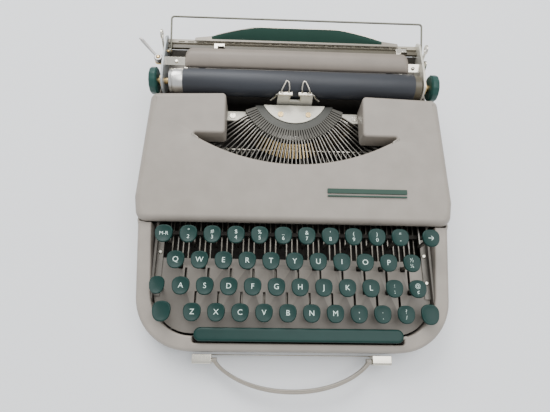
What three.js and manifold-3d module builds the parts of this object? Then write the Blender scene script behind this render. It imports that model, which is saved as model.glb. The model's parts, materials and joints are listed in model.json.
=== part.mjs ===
// A flat portable typewriter: pressed-steel body, lift-off hood, four-row keyboard on long levers,
// typebar segment, and a carriage that lifts for capitals and slides for spacing.
// Millimetres, +X to the typist's right, +Y away from the typist, +Z up.
import * as THREE from "three";
import { mergeVertices } from "three/addons/utils/BufferGeometryUtils.js";
import Module from "manifold-3d";

const wasm = await Module();
wasm.setup();

// ---- Driving sizes -------------------------------------------------------------------------------
const BODY_WIDTH = 260;
const BODY_DEPTH = 284; // front rim to rear wall
const GAP = 0.3; // between pieces that rest on each other
const SHEET = 2; // body sheet and frame plates
const THIN_SHEET = 1.4; // hood, paper table and supports

const KEY_PITCH = 19.5;
const ROW_PITCH = 20.3;
const ROW_RISE = 5.5;
const FIRST_ROW_Y = 31.5; // the row nearest the typist
const FIRST_ROW_TOP = 43.5;
const KEYTOP_WIDTH = 16;
const KEYTOP_LENGTH = 14.9;
const KEYTOP_THICK = 4;
const KEY_TRAVEL = 8;
const LEVER_THICK = 1.6;
const LEVER_HEIGHT = 5;
const STEM_WIDTH = 2.6;
const STEM_DEPTH = 2;
const SHAFT_RADIUS = 1.5;
const RUNNING_GAP = 0.5; // radial room of a hole round its pin

const PLATEN_RADIUS = 12.2;
const PLATEN_SHAFT_RADIUS = 3;
const KNOB_RADIUS = 12.4;
const KNOB_LENGTH = 7.5;
const SHIFT_LIFT = 6;
const TYPEBARS = 42;
const TYPEBAR_FAN = 63; // degrees each side of the centre line
const SEGMENT_INNER = 37;
const SEGMENT_OUTER = 50;
const TYPEBAR_REACH = 97; // outer end of the resting type heads

// ---- Levels and places worked out from them ------------------------------------------------------
const HALF = BODY_WIDTH / 2;
const RAIL_BOTTOM = 40;
const RAIL_TOP = RAIL_BOTTOM + 5;
const RAIL_HALF_DEPTH = 4;
const ARM_TOP = RAIL_BOTTOM + 1.5; // arm of the rail that passes under the platen
const CARRIAGE_Y = BODY_DEPTH - 41; // the carriage fittings are placed from this line
const PLATEN_Y = CARRIAGE_Y - 3;
const PLATEN_HEIGHT = ARM_TOP + 4.3 + PLATEN_RADIUS;
const RAIL_Y = PLATEN_Y + PLATEN_RADIUS + 9.8;
const HOOD_BACK = PLATEN_Y - PLATEN_RADIUS - 4.8;
const LAST_ROW_Y = FIRST_ROW_Y + 3 * ROW_PITCH;
const HOOD_FRONT = LAST_ROW_Y + 15.6;
const FOOT_HEIGHT = 6;
const FLOOR_TOP = FOOT_HEIGHT + SHEET;
const REAR_WALL_TOP = 38;
const FRONT_CORNER = 45;
const LEVER_BOTTOM = FLOOR_TOP + KEY_TRAVEL + 1;
const LEVER_TOP = LEVER_BOTTOM + LEVER_HEIGHT;
const SHAFT_Y = CARRIAGE_Y - 53;
const SHAFT_Z = LEVER_BOTTOM + LEVER_HEIGHT / 2;
const PLATE_BOTTOM = LEVER_TOP + 4;
const PLATE_TOP = PLATE_BOTTOM + 1.5;
const RIM_FRONT = PLATE_TOP + 4.5; // the rim lies over the keyboard plate
const RIM_BACK = RIM_FRONT + 11;
const FRAME_HALF = HALF - 9;
const PRINT_X = 0; // the typing point

// ---- Small tools ---------------------------------------------------------------------------------
const radians = (degrees) => (degrees * Math.PI) / 180;

function solid(geometry) {
  const bare = geometry.index ? geometry.toNonIndexed() : geometry.clone();
  for (const name of Object.keys(bare.attributes)) {
    if (name !== "position") bare.deleteAttribute(name);
  }
  const merged = mergeVertices(bare, 1e-4);
  return new wasm.Manifold(
    new wasm.Mesh({
      numProp: 3,
      vertProperties: merged.attributes.position.array,
      triVerts: new Uint32Array(merged.index.array),
    }),
  );
}

function join(pieces) {
  return pieces.reduce((whole, piece) => whole.add(piece));
}

function cut(whole, tools) {
  return tools.reduce((left, tool) => left.subtract(tool), whole);
}

// Block between two corners.
function block(x0, x1, y0, y1, z0, z1) {
  const shape = new THREE.BoxGeometry(x1 - x0, y1 - y0, z1 - z0);
  return solid(shape.translate((x0 + x1) / 2, (y0 + y1) / 2, (z0 + z1) / 2));
}

// Outline of corners [x, y, radius], each rounded by its radius.
function rounded(corners, steps = 4) {
  const points = [];
  corners.forEach(([x, y, radius = 0], i) => {
    const corner = new THREE.Vector2(x, y);
    const before = new THREE.Vector2(...corners.at(i - 1)).sub(corner).normalize();
    const after = new THREE.Vector2(...corners[(i + 1) % corners.length]).sub(corner).normalize();
    if (!radius) {
      points.push(corner);
      return;
    }
    const half = Math.acos(THREE.MathUtils.clamp(before.dot(after), -1, 1)) / 2;
    const reach = radius / Math.tan(half);
    const centre = before.clone().add(after).normalize();
    centre.multiplyScalar(radius / Math.sin(half)).add(corner);
    const start = before.clone().multiplyScalar(reach).add(corner).sub(centre);
    const end = after.clone().multiplyScalar(reach).add(corner).sub(centre);
    const turn = Math.atan2(start.x * end.y - start.y * end.x, start.dot(end));
    for (let k = 0; k <= steps; k++) {
      const arm = start.clone().rotateAround(new THREE.Vector2(), (turn * k) / steps);
      points.push(arm.add(centre));
    }
  });
  return new THREE.Shape(points);
}

function circle(x, y, radius, sides = 20) {
  const points = [];
  for (let i = 0; i < sides; i++) {
    const angle = (2 * Math.PI * i) / sides;
    points.push(new THREE.Vector2(x + radius * Math.cos(angle), y + radius * Math.sin(angle)));
  }
  return new THREE.Shape(points);
}

// Outline in plan, raised from z0 to z1.
function upright(shape, z0, z1) {
  const made = new THREE.ExtrudeGeometry(shape, { depth: z1 - z0, bevelEnabled: false });
  return solid(made.translate(0, 0, z0));
}

// Outline in side view (across is Y, up is Z), drawn out along X.
function sideways(shape, x0, x1) {
  const made = new THREE.ExtrudeGeometry(shape, { depth: x1 - x0, bevelEnabled: false });
  const turn = new THREE.Matrix4().set(0, 0, 1, x0, 1, 0, 0, 0, 0, 1, 0, 0, 0, 0, 0, 1);
  return solid(made.applyMatrix4(turn));
}

const rodX = (x0, x1, y, z, radius, sides = 12) => sideways(circle(y, z, radius, sides), x0, x1);
const rodZ = (x, y, z0, z1, radius, sides = 16) => upright(circle(x, y, radius, sides), z0, z1);

// Round rod between two points.
function rodBetween(from, to, radius, sides = 8) {
  const start = new THREE.Vector3(...from);
  const along = new THREE.Vector3(...to).sub(start);
  const shape = new THREE.CylinderGeometry(radius, radius, along.length(), sides);
  const turn = new THREE.Quaternion();
  turn.setFromUnitVectors(new THREE.Vector3(0, 1, 0), along.clone().normalize());
  shape.applyQuaternion(turn);
  return solid(shape.translate(...start.addScaledVector(along, 0.5).toArray()));
}

const PAINT = new THREE.MeshStandardMaterial({ color: 0xa79f94, roughness: 0.55, metalness: 0.1 });
const GREEN = new THREE.MeshStandardMaterial({ color: 0x1f4a42, roughness: 0.25, metalness: 0 });
const STEEL = new THREE.MeshStandardMaterial({ color: 0x9a9a96, roughness: 0.35, metalness: 0.9 });
const NICKEL = new THREE.MeshStandardMaterial({ color: 0xc9c4b2, roughness: 0.3, metalness: 0.8 });
const DARK = new THREE.MeshStandardMaterial({ color: 0x2f3133, roughness: 0.6, metalness: 0.5 });
const RUBBER = new THREE.MeshStandardMaterial({ color: 0x34373b, roughness: 0.7, metalness: 0 });
const STRAP = new THREE.MeshStandardMaterial({ color: 0x8f887c, roughness: 0.5, metalness: 0 });

const group = new THREE.Group();

function place(name, shape, material) {
  const made = shape.getMesh();
  const geometry = new THREE.BufferGeometry();
  geometry.setAttribute("position", new THREE.BufferAttribute(made.vertProperties, 3));
  geometry.setIndex(new THREE.BufferAttribute(made.triVerts, 1));
  geometry.computeVertexNormals();
  const mesh = new THREE.Mesh(geometry, material);
  mesh.name = name;
  group.add(mesh);
}

// ---- Keyboard layout -----------------------------------------------------------------------------
// The second row's first key stands this many pitches from the middle; the others are staggered from it.
const ROW_START = -4.79;
const ROWS = [
  { row: 0, legends: "zxcvbnm,./", stagger: 0.5 },
  { row: 1, legends: "asdfghjkl;'", stagger: 0 },
  { row: 2, legends: "qwertyuiop+", stagger: -0.25 },
  { row: 3, legends: "234567890-", stagger: 0.25 },
];

function keyPlace(row, x, width = KEYTOP_WIDTH, length = KEYTOP_LENGTH, travel = KEY_TRAVEL) {
  const y = FIRST_ROW_Y + row * ROW_PITCH;
  return { x, y, top: FIRST_ROW_TOP + row * ROW_RISE, width, length, travel };
}

const KEYS = ROWS.flatMap(({ row, legends, stagger }) =>
  [...legends].map((legend, i) => ({ legend, ...keyPlace(row, (ROW_START + stagger + i) * KEY_PITCH) })),
);
const SIDE_KEY_X = HALF - 22.2;
const SHIFT_TRAVEL = SHIFT_LIFT; // the shift keys lift the carriage one for one
const SHIFT_KEYS = [-SIDE_KEY_X, SIDE_KEY_X + 3].map((x) => ({
  ...keyPlace(0, x, KEYTOP_WIDTH + 0.5, KEYTOP_LENGTH + 1.7, SHIFT_TRAVEL),
  top: FIRST_ROW_TOP + 2.5,
}));
const LOCK_KEY = { ...keyPlace(1, -SIDE_KEY_X - 4.7, 13.6, 14.5), top: FIRST_ROW_TOP + ROW_RISE + 1 };
const MARGIN_KEY = keyPlace(3, -SIDE_KEY_X - 0.8);
const BACKSPACE_KEY = keyPlace(3, SIDE_KEY_X + 5.1);

const reach = (key) => SHAFT_Y - key.y;
const keySwing = (key) => Math.asin(key.travel / reach(key));
// How far a key's stem moves towards the typist, at a height, as the key goes down.
const stemDrift = (key, height) => (height - SHAFT_Z) * Math.sin(keySwing(key));

// ---- Lower casing --------------------------------------------------------------------------------
const RIM_SLOPE = (RIM_BACK - RIM_FRONT) / HOOD_FRONT;
const RIM_WIDTH = 13.5;
const SIDE_RIM = 12;
const BAR_LEFT = -82;
const BAR_RIGHT = 90;
const BAR_FRONT = 9.1;
const BAR_BACK = 20.1;
const BODY_FRONT = 1.7; // front wall, behind the handle brackets' face
const SIDE_FLARE = 6; // how much wider each side is at the hood than at the front corners

function bodyOutline(inset) {
  const side = HALF - inset;
  return rounded(
    [
      [-side, BODY_FRONT + inset, FRONT_CORNER - inset],
      [side, BODY_FRONT + inset, FRONT_CORNER - inset],
      [side + SIDE_FLARE, HOOD_FRONT],
      [side, BODY_DEPTH - inset, 18 - inset],
      [-side, BODY_DEPTH - inset, 18 - inset],
      [-side - SIDE_FLARE, HOOD_FRONT],
    ],
    8,
  );
}

// The casing's top line in side view, lowered by drop.
function casingProfile(drop) {
  return new THREE.Shape([
    new THREE.Vector2(-1, FOOT_HEIGHT - 1),
    new THREE.Vector2(-1, RIM_FRONT - RIM_SLOPE - drop),
    new THREE.Vector2(HOOD_FRONT, RIM_BACK - drop),
    new THREE.Vector2(HOOD_BACK, RIM_BACK - drop),
    new THREE.Vector2(HOOD_BACK + 2, REAR_WALL_TOP - drop),
    new THREE.Vector2(BODY_DEPTH + 1, REAR_WALL_TOP - drop),
    new THREE.Vector2(BODY_DEPTH + 1, FOOT_HEIGHT - 1),
  ]);
}

function baseShell() {
  const high = RIM_BACK + 20;
  const outside = upright(bodyOutline(0), FOOT_HEIGHT, high);
  const room = upright(bodyOutline(SHEET), FLOOR_TOP, high);
  const wide = HALF + SIDE_FLARE + 1;
  const under = sideways(casingProfile(SHEET), -wide, wide);
  const well = upright(
    rounded([
      [-HALF + SIDE_RIM, RIM_WIDTH, FRONT_CORNER - 9],
      [HALF - SIDE_RIM, RIM_WIDTH, FRONT_CORNER - 9],
      [HALF + SIDE_FLARE - SIDE_RIM, HOOD_FRONT],
      [-HALF - SIDE_FLARE + SIDE_RIM, HOOD_FRONT],
    ]),
    FLOOR_TOP,
    high,
  );
  const barNotch = block(BAR_LEFT - 1.5, BAR_RIGHT + 1.5, BAR_FRONT - 1.1, BAR_BACK, FLOOR_TOP, high);
  const openBack = room.intersect(block(-wide, wide, HOOD_FRONT - 1, BODY_DEPTH, FLOOR_TOP, high));
  const casing = outside.intersect(sideways(casingProfile(0), -wide, wide));
  return cut(casing, [room.intersect(under), well, barNotch, openBack]);
}
place("base_shell", baseShell(), PAINT);

const FOOT_RADIUS = 8;
const FOOT_SPOTS = [
  [-HALF + 30, 30],
  [HALF - 30, 30],
  [-HALF + 30, BODY_DEPTH - 30],
  [HALF - 30, BODY_DEPTH - 30],
];
FOOT_SPOTS.forEach(([x, y], i) => {
  const profile = [
    new THREE.Vector2(0, 0),
    new THREE.Vector2(FOOT_RADIUS - 1, 0),
    new THREE.Vector2(FOOT_RADIUS, 1),
    new THREE.Vector2(FOOT_RADIUS - 0.6, FOOT_HEIGHT - GAP),
    new THREE.Vector2(0, FOOT_HEIGHT - GAP),
  ];
  const foot = solid(new THREE.LatheGeometry(profile, 14).rotateX(Math.PI / 2));
  place("foot_" + (i + 1), foot.translate([x, y, 0]), RUBBER);
});

// ---- Hood ----------------------------------------------------------------------------------------
const HOOD_LIP = 50.5;
const HOOD_TOP = 67.5;
const HOOD_FLARE = 9; // how far the widest part stands outside the casing
const EAR_LEFT = -63; // inner edges of the two ears beside the basket
const EAR_RIGHT = 61;
const EAR_FRONT = HOOD_BACK - 37.5;
const CRESCENT_HALF = 95;
const CRESCENT_DEPTH = 27;
const CRESCENT_X = 0.5;

function hoodOutline(inset) {
  const front = HOOD_FRONT - 0.6 + inset;
  const back = HOOD_BACK - inset;
  const wide = HALF + HOOD_FLARE - inset;
  return rounded([
    [-wide + 3, front, 3],
    [wide - 3, front, 3],
    [wide, front + 20, 10],
    [wide - 8, back, 7],
    [-wide + 8, back, 7],
    [-wide, front + 20, 10],
  ]);
}

function hoodProfile(drop) {
  const slope = (HOOD_TOP - HOOD_LIP) / (HOOD_BACK - HOOD_FRONT);
  const low = RIM_BACK - 10;
  return new THREE.Shape([
    new THREE.Vector2(HOOD_FRONT - 10, low),
    new THREE.Vector2(HOOD_BACK + 10, low),
    new THREE.Vector2(HOOD_BACK + 10, HOOD_TOP + 10 * slope - drop),
    new THREE.Vector2(HOOD_FRONT - 10, HOOD_LIP - 10 * slope - drop),
  ]);
}

// The window over the type basket: a crescent in front of the ears, open to the back between them.
function crescent() {
  const radius = (CRESCENT_HALF ** 2 + CRESCENT_DEPTH ** 2) / (2 * CRESCENT_DEPTH);
  const centreY = EAR_FRONT - CRESCENT_DEPTH + radius;
  const half = Math.asin(CRESCENT_HALF / radius);
  const points = [];
  const steps = 16;
  for (let i = 0; i <= steps; i++) {
    const angle = -half + (2 * half * i) / steps;
    const x = CRESCENT_X + radius * Math.sin(angle);
    points.push(new THREE.Vector2(x, centreY - radius * Math.cos(angle)));
  }
  const front = upright(new THREE.Shape(points), RIM_BACK, HOOD_TOP + 5);
  const back = upright(
    rounded([
      [EAR_LEFT, EAR_FRONT - 1],
      [EAR_RIGHT, EAR_FRONT - 1],
      [EAR_RIGHT, HOOD_BACK + 9],
      [EAR_LEFT, HOOD_BACK + 9],
    ]),
    RIM_BACK - 1,
    HOOD_TOP + 5,
  );
  return front.add(back);
}

function topCover() {
  const bottom = RIM_BACK + GAP;
  const outside = upright(hoodOutline(0), bottom, HOOD_TOP + 3);
  const inside = upright(hoodOutline(THIN_SHEET), bottom - 1, HOOD_TOP + 3);
  const skin = outside.intersect(sideways(hoodProfile(0), -HALF - 20, HALF + 20));
  const room = inside.intersect(sideways(hoodProfile(THIN_SHEET), -HALF - 20, HALF + 20));
  return cut(skin, [room, crescent()]);
}
place("top_cover", topCover(), PAINT);

// ---- Chassis -------------------------------------------------------------------------------------
const PLATE_FRONT = 15.5;
const SPOOL_X = HALF - 33;
const SPOOL_Y = HOOD_FRONT + 44;
const SPOOL_RADIUS = 20;
const SPOOL_BOTTOM = 38;
const SPOOL_HEIGHT = 12;
const POST_RADIUS = 2;
const DECK_BOTTOM = SPOOL_BOTTOM - 3.5;
const BEAM_TOP = 39.7; // rear beam that the segment is bolted to
const RAIL_POST_X = HALF - 25;
const CROSS_PLATE_BOTTOM = RAIL_BOTTOM - 14;
const SHORT_PIVOT_Y = LAST_ROW_Y + 25.6; // pivot of the two short side levers
const SHORT_PIVOT_Z = PLATE_TOP + 3;

function slotFor(key, width) {
  const drift = stemDrift(key, PLATE_TOP);
  const side = width / 2 + 0.7;
  const ends = STEM_DEPTH / 2 + 0.6;
  const low = PLATE_BOTTOM - 1;
  return block(key.x - side, key.x + side, key.y - ends - drift, key.y + ends, low, PLATE_TOP + 1);
}

function mainFrame() {
  const foot = FLOOR_TOP + GAP;
  const inner = FRAME_HALF - SHEET;
  const wallTop = PLATE_TOP + 6;
  const deckTop = SPOOL_BOTTOM - GAP;
  const deckFront = SPOOL_Y - 14;
  const deckBack = SPOOL_Y + 14;
  // The left half; the right half is its mirror image.
  const half = join([
    block(-FRAME_HALF, -inner, 38, BODY_DEPTH - 8, foot, wallTop),
    block(-FRAME_HALF, -inner, deckFront, deckBack, wallTop - 4, deckTop),
    block(-inner - 0.5, -SPOOL_X + 10.5, deckFront, deckBack, DECK_BOTTOM, deckTop),
    rodZ(-SPOOL_X, SPOOL_Y, DECK_BOTTOM, SPOOL_BOTTOM + SPOOL_HEIGHT - 1, POST_RADIUS, 12),
    rodX(-inner - 0.5, -SIDE_KEY_X + 4, SHORT_PIVOT_Y, SHORT_PIVOT_Z, SHAFT_RADIUS),
    rodZ(-RAIL_POST_X, RAIL_Y, CROSS_PLATE_BOTTOM + 1, RAIL_TOP - 1, POST_RADIUS, 12),
  ]);
  const pieces = [half, half.mirror([1, 0, 0])];
  const plate = upright(
    rounded([
      [-inner - 0.5, PLATE_FRONT, 33],
      [inner + 0.5, PLATE_FRONT, 33],
      [inner + 0.5, HOOD_FRONT - 4],
      [-inner - 0.5, HOOD_FRONT - 4],
    ]),
    PLATE_BOTTOM,
    PLATE_TOP,
  );
  const slots = [...KEYS, ...SHIFT_KEYS, LOCK_KEY].map((key) => slotFor(key, STEM_WIDTH));
  // Notches under the two short side levers.
  for (const { x, y } of [MARGIN_KEY, BACKSPACE_KEY]) {
    slots.push(block(x - 3, x + 3, y - 6, HOOD_FRONT, PLATE_BOTTOM - 1, PLATE_TOP + 1));
  }
  pieces.push(cut(plate, slots));
  pieces.push(rodX(-inner - 0.5, inner + 0.5, SHAFT_Y, SHAFT_Z, SHAFT_RADIUS));
  // Rear beam under the segment, and the cross plate that carries the carriage posts.
  const [beamFront, beamBack] = [HOOD_BACK - 12, HOOD_BACK - 6];
  const crossTop = CROSS_PLATE_BOTTOM + 3;
  pieces.push(block(-inner - 0.5, inner + 0.5, beamFront, beamBack, foot, wallTop - 2));
  pieces.push(block(PRINT_X - 56, PRINT_X + 56, beamFront, beamBack, wallTop - 3, BEAM_TOP));
  pieces.push(block(-inner - 0.5, inner + 0.5, RAIL_Y - 6, RAIL_Y + 6, CROSS_PLATE_BOTTOM, crossTop));
  return join(pieces);
}
place("main_frame", mainFrame(), DARK);

// ---- Segment and typebars ------------------------------------------------------------------------
const SEGMENT_Y = PLATEN_Y - 4.7;
const SEGMENT_BOTTOM = BEAM_TOP + GAP;
const SEGMENT_TOP = 50;

function sector(inner, outer, half, steps = 24) {
  const points = [];
  for (let i = 0; i <= steps; i++) {
    const angle = radians(-half + (2 * half * i) / steps);
    points.push(new THREE.Vector2(PRINT_X + outer * Math.sin(angle), SEGMENT_Y - outer * Math.cos(angle)));
  }
  for (let i = steps; i >= 0; i--) {
    const angle = radians(-half + (2 * half * i) / steps);
    points.push(new THREE.Vector2(PRINT_X + inner * Math.sin(angle), SEGMENT_Y - inner * Math.cos(angle)));
  }
  return new THREE.Shape(points);
}

function segment() {
  const slotted = sector(SEGMENT_INNER - 1, SEGMENT_OUTER, TYPEBAR_FAN + 5);
  const ring = upright(slotted, SEGMENT_BOTTOM, SEGMENT_TOP);
  const plate = upright(circle(PRINT_X, SEGMENT_Y, SEGMENT_INNER, 32), SEGMENT_BOTTOM, SEGMENT_TOP);
  const front = block(PRINT_X - 60, PRINT_X + 60, SEGMENT_Y - 70, HOOD_BACK - 0.5, 0, 100);
  const face = plate.intersect(front);
  const ears = [-1, 1].map((side) => {
    const x = PRINT_X + side * 54;
    return block(x - 13, x + 13, HOOD_BACK - 14, HOOD_BACK - 4, SEGMENT_BOTTOM, SEGMENT_BOTTOM + 2.6);
  });
  return join([ring.intersect(front), face, ...ears]);
}
place("segment", segment(), NICKEL);

// The bars lie side by side in a fan, joined at their pivot ends by the fulcrum wire's arc.
function typebars() {
  const bottom = SEGMENT_BOTTOM + 4.6;
  const start = SEGMENT_OUTER + 0.6;
  const arc = start + 3;
  const barHalf = 0.7;
  const polar = (radius, angle, offset) =>
    new THREE.Vector2(
      PRINT_X + radius * Math.sin(angle) + offset * Math.cos(angle),
      SEGMENT_Y - radius * Math.cos(angle) + offset * Math.sin(angle),
    );
  const outer = [];
  const inner = [];
  for (let i = 0; i < TYPEBARS; i++) {
    const angle = radians(-TYPEBAR_FAN + (2 * TYPEBAR_FAN * i) / (TYPEBARS - 1));
    outer.push(polar(arc, angle, -barHalf), polar(TYPEBAR_REACH, angle, -barHalf));
    outer.push(polar(TYPEBAR_REACH, angle, barHalf), polar(arc, angle, barHalf));
    if (i % 3 === 0 || i === TYPEBARS - 1) inner.push(polar(start, angle, 0));
  }
  return upright(new THREE.Shape([...outer, ...inner.reverse()]), bottom, bottom + 3);
}
place("typebars", typebars(), STEEL);

function spool() {
  const bore = POST_RADIUS + RUNNING_GAP;
  const low = SPOOL_BOTTOM;
  const high = SPOOL_BOTTOM + SPOOL_HEIGHT;
  const profile = [
    [bore, low],
    [SPOOL_RADIUS, low],
    [SPOOL_RADIUS, low + 1],
    [SPOOL_RADIUS - 5, low + 1],
    [SPOOL_RADIUS - 5, high - 1],
    [SPOOL_RADIUS, high - 1],
    [SPOOL_RADIUS, high],
    [bore, high],
    [bore, low],
  ];
  const points = profile.map(([radius, z]) => new THREE.Vector2(radius, z));
  return solid(new THREE.LatheGeometry(points, 16).rotateX(Math.PI / 2));
}
place("spool_left", spool().translate([-SPOOL_X, SPOOL_Y, 0]), DARK);
place("spool_right", spool().translate([SPOOL_X, SPOOL_Y, 0]), DARK);

// ---- Keys ----------------------------------------------------------------------------------------
// A keytop is broad at the back and narrows to a round front edge.
function keytop(key) {
  const points = [];
  const sides = 12;
  for (let i = 0; i < sides; i++) {
    const angle = (2 * Math.PI * (i + 0.5)) / sides;
    const across = Math.sign(Math.cos(angle)) * Math.abs(Math.cos(angle)) ** 0.8;
    const along = Math.sign(Math.sin(angle)) * Math.abs(Math.sin(angle)) ** 0.8;
    const x = key.x + (key.width / 2) * across * (0.93 + 0.07 * along);
    points.push(new THREE.Vector2(x, key.y + (key.length / 2) * along));
  }
  return upright(new THREE.Shape(points), key.top - KEYTOP_THICK, key.top);
}

function stem(key, bottom) {
  const half = STEM_WIDTH / 2;
  const deep = STEM_DEPTH / 2;
  const top = key.top - KEYTOP_THICK + 0.5;
  return block(key.x - half, key.x + half, key.y - deep, key.y + deep, bottom, top);
}

// A flat lever from front to its hub on a cross shaft.
function lever(x, front, pivotY, pivotZ, height) {
  const half = LEVER_THICK / 2;
  const bore = SHAFT_RADIUS + RUNNING_GAP;
  const hub = sideways(circle(pivotY, pivotZ, bore + 1.8, 8), x - half, x + half);
  const bar = block(x - half, x + half, front, pivotY, pivotZ - height / 2, pivotZ + height / 2);
  return hub.add(bar).subtract(rodX(x - half - 1, x + half + 1, pivotY, pivotZ, bore, 8));
}

function typingKey(key) {
  const front = key.y - STEM_DEPTH / 2;
  return join([
    keytop(key),
    stem(key, LEVER_BOTTOM + 1),
    lever(key.x, front, SHAFT_Y, SHAFT_Z, LEVER_HEIGHT),
  ]);
}

const isLetter = (key) => /[a-z]/.test(key.legend);
const isNumber = (key) => /[0-9-]/.test(key.legend);
for (const key of KEYS.filter(isLetter)) place("key_" + key.legend, typingKey(key), GREEN);

// Keys that share one node are tied by a rod across their levers, close to the shaft.
function gang(keys, rodHeight) {
  const y = SHAFT_Y - 10;
  const half = LEVER_THICK / 2;
  const xs = keys.map((key) => key.x);
  const ties = keys.map((key) => {
    const low = Math.min(rodHeight, SHAFT_Z);
    return block(key.x - half, key.x + half, y - 1, y + 1, low, Math.max(rodHeight, SHAFT_Z));
  });
  const rod = rodX(Math.min(...xs) - half, Math.max(...xs) + half, y, rodHeight, 1.2, 6);
  return join([...keys.map(typingKey), ...ties, rod]);
}
place("number_keys", gang(KEYS.filter(isNumber), LEVER_BOTTOM - 3), GREEN);
place("mark_keys", gang(KEYS.filter((key) => !isLetter(key) && !isNumber(key)), LEVER_TOP + 3.6), GREEN);

function shiftKeys() {
  const [left, right] = SHIFT_KEYS;
  const bail = rodX(left.x, right.x, SHAFT_Y - 30, LEVER_TOP + 5, 1.4, 8);
  const ties = SHIFT_KEYS.map(({ x }) => {
    const half = LEVER_THICK / 2;
    return block(x - half, x + half, SHAFT_Y - 31, SHAFT_Y - 29, SHAFT_Z, LEVER_TOP + 5);
  });
  // A tab under the shift lock's stem.
  const tab = block(LOCK_KEY.x - 2, left.x, LOCK_KEY.y - 2, LOCK_KEY.y + 2, LEVER_TOP - 2, LEVER_TOP - 0.5);
  return join([...SHIFT_KEYS.map(typingKey), ...ties, bail, tab]);
}
place("shift_keys", shiftKeys(), GREEN);

const LOCK_DROP = 2;
place("shift_lock", keytop(LOCK_KEY).add(stem(LOCK_KEY, LEVER_TOP - 0.5 + LOCK_DROP + GAP)), GREEN);

// The two keys at the ends of the back row work on short levers of their own.
function shortKey(key) {
  const low = SHORT_PIVOT_Z - 1.6;
  return join([
    keytop(key),
    stem(key, low),
    lever(key.x, key.y - STEM_DEPTH / 2, SHORT_PIVOT_Y, SHORT_PIVOT_Z, 3.2),
  ]);
}
place("margin_release_key", shortKey(MARGIN_KEY), GREEN);
place("backspace_key", shortKey(BACKSPACE_KEY), GREEN);

const BAR_TOP = 38;
const BAR_THICK = 4.5;
const BAR_LEVERS = [-HALF + 26.9, HALF - 23.5];

function spaceBar() {
  const middle = (BAR_FRONT + BAR_BACK) / 2;
  const round = (BAR_BACK - BAR_FRONT) / 2 - 0.3;
  const bar = upright(
    rounded([
      [BAR_LEFT, BAR_FRONT, round],
      [BAR_RIGHT, BAR_FRONT, round],
      [BAR_RIGHT, BAR_BACK, round],
      [BAR_LEFT, BAR_BACK, round],
    ]),
    BAR_TOP - BAR_THICK,
    BAR_TOP,
  );
  const crossRod = rodX(BAR_LEVERS[0], BAR_LEVERS[1], middle - 0.6, SHAFT_Z, 1.4, 8);
  const posts = [BAR_LEFT + 22, BAR_RIGHT - 22].map((x) =>
    block(x - 1.3, x + 1.3, middle - 1.6, middle + 0.4, SHAFT_Z, BAR_TOP - BAR_THICK + 0.5),
  );
  const arms = BAR_LEVERS.map((x) => lever(x, middle - 1.6, SHAFT_Y, SHAFT_Z, LEVER_HEIGHT - 1));
  return join([bar, crossRod, ...posts, ...arms]);
}
place("space_bar", spaceBar(), GREEN);

// ---- Carriage ------------------------------------------------------------------------------------
const RAIL_HALF = HALF - 12;
const HOLDER_HALF = 16.5;

function carriageRail() {
  const front = RAIL_Y - RAIL_HALF_DEPTH;
  const back = RAIL_Y + RAIL_HALF_DEPTH;
  const bar = block(-RAIL_HALF, RAIL_HALF, front, back, RAIL_BOTTOM, RAIL_TOP);
  const arm = block(PRINT_X - 12, PRINT_X + 12, HOOD_BACK + 1, RAIL_Y, RAIL_BOTTOM - 3, ARM_TOP);
  // The bosses stay on their posts when the rail is lifted.
  const bossBottom = RAIL_BOTTOM - SHIFT_LIFT - 3;
  const posts = [-RAIL_POST_X, RAIL_POST_X];
  const bosses = posts.map((x) => rodZ(x, RAIL_Y, bossBottom, RAIL_BOTTOM + 1, POST_RADIUS + 2, 12));
  const bore = POST_RADIUS + RUNNING_GAP;
  const bores = posts.map((x) => rodZ(x, RAIL_Y, bossBottom - 1, RAIL_TOP + 1, bore, 12));
  return cut(join([bar, arm, ...bosses]), bores);
}
place("carriage_rail", carriageRail(), STEEL);

// Card holder: an upright plate with a window, and two fingers that bend over the platen.
function cardHolder() {
  const front = HOOD_BACK + 1.5;
  const back = front + 2;
  const low = ARM_TOP + GAP;
  const top = PLATEN_HEIGHT + 7;
  const overPlaten = PLATEN_HEIGHT + PLATEN_RADIUS + 1.4;
  const plate = block(PRINT_X - HOLDER_HALF, PRINT_X + HOLDER_HALF, front, back, low, top);
  const foot = block(PRINT_X - 11, PRINT_X + 11, front, front + 5, low, low + 1.6);
  const window = block(PRINT_X - 8, PRINT_X + 8, front - 1, back + 1, top - 13, top - 2.5);
  const slant = new THREE.Shape([
    new THREE.Vector2(front, top - 5),
    new THREE.Vector2(back, top - 5),
    new THREE.Vector2(back + 1.5, top + 2.5),
    new THREE.Vector2(PLATEN_Y - 6.5, overPlaten),
    new THREE.Vector2(PLATEN_Y - 7.5, overPlaten + 1),
    new THREE.Vector2(front + 2, top + 4),
  ]);
  const fingers = [-1, 1].map((side) => {
    const x = PRINT_X + side * 9.5;
    return sideways(slant, x - 2, x + 2);
  });
  return join([cut(plate, [window]), foot, ...fingers]);
}
place("card_holder", cardHolder(), NICKEL);

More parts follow.
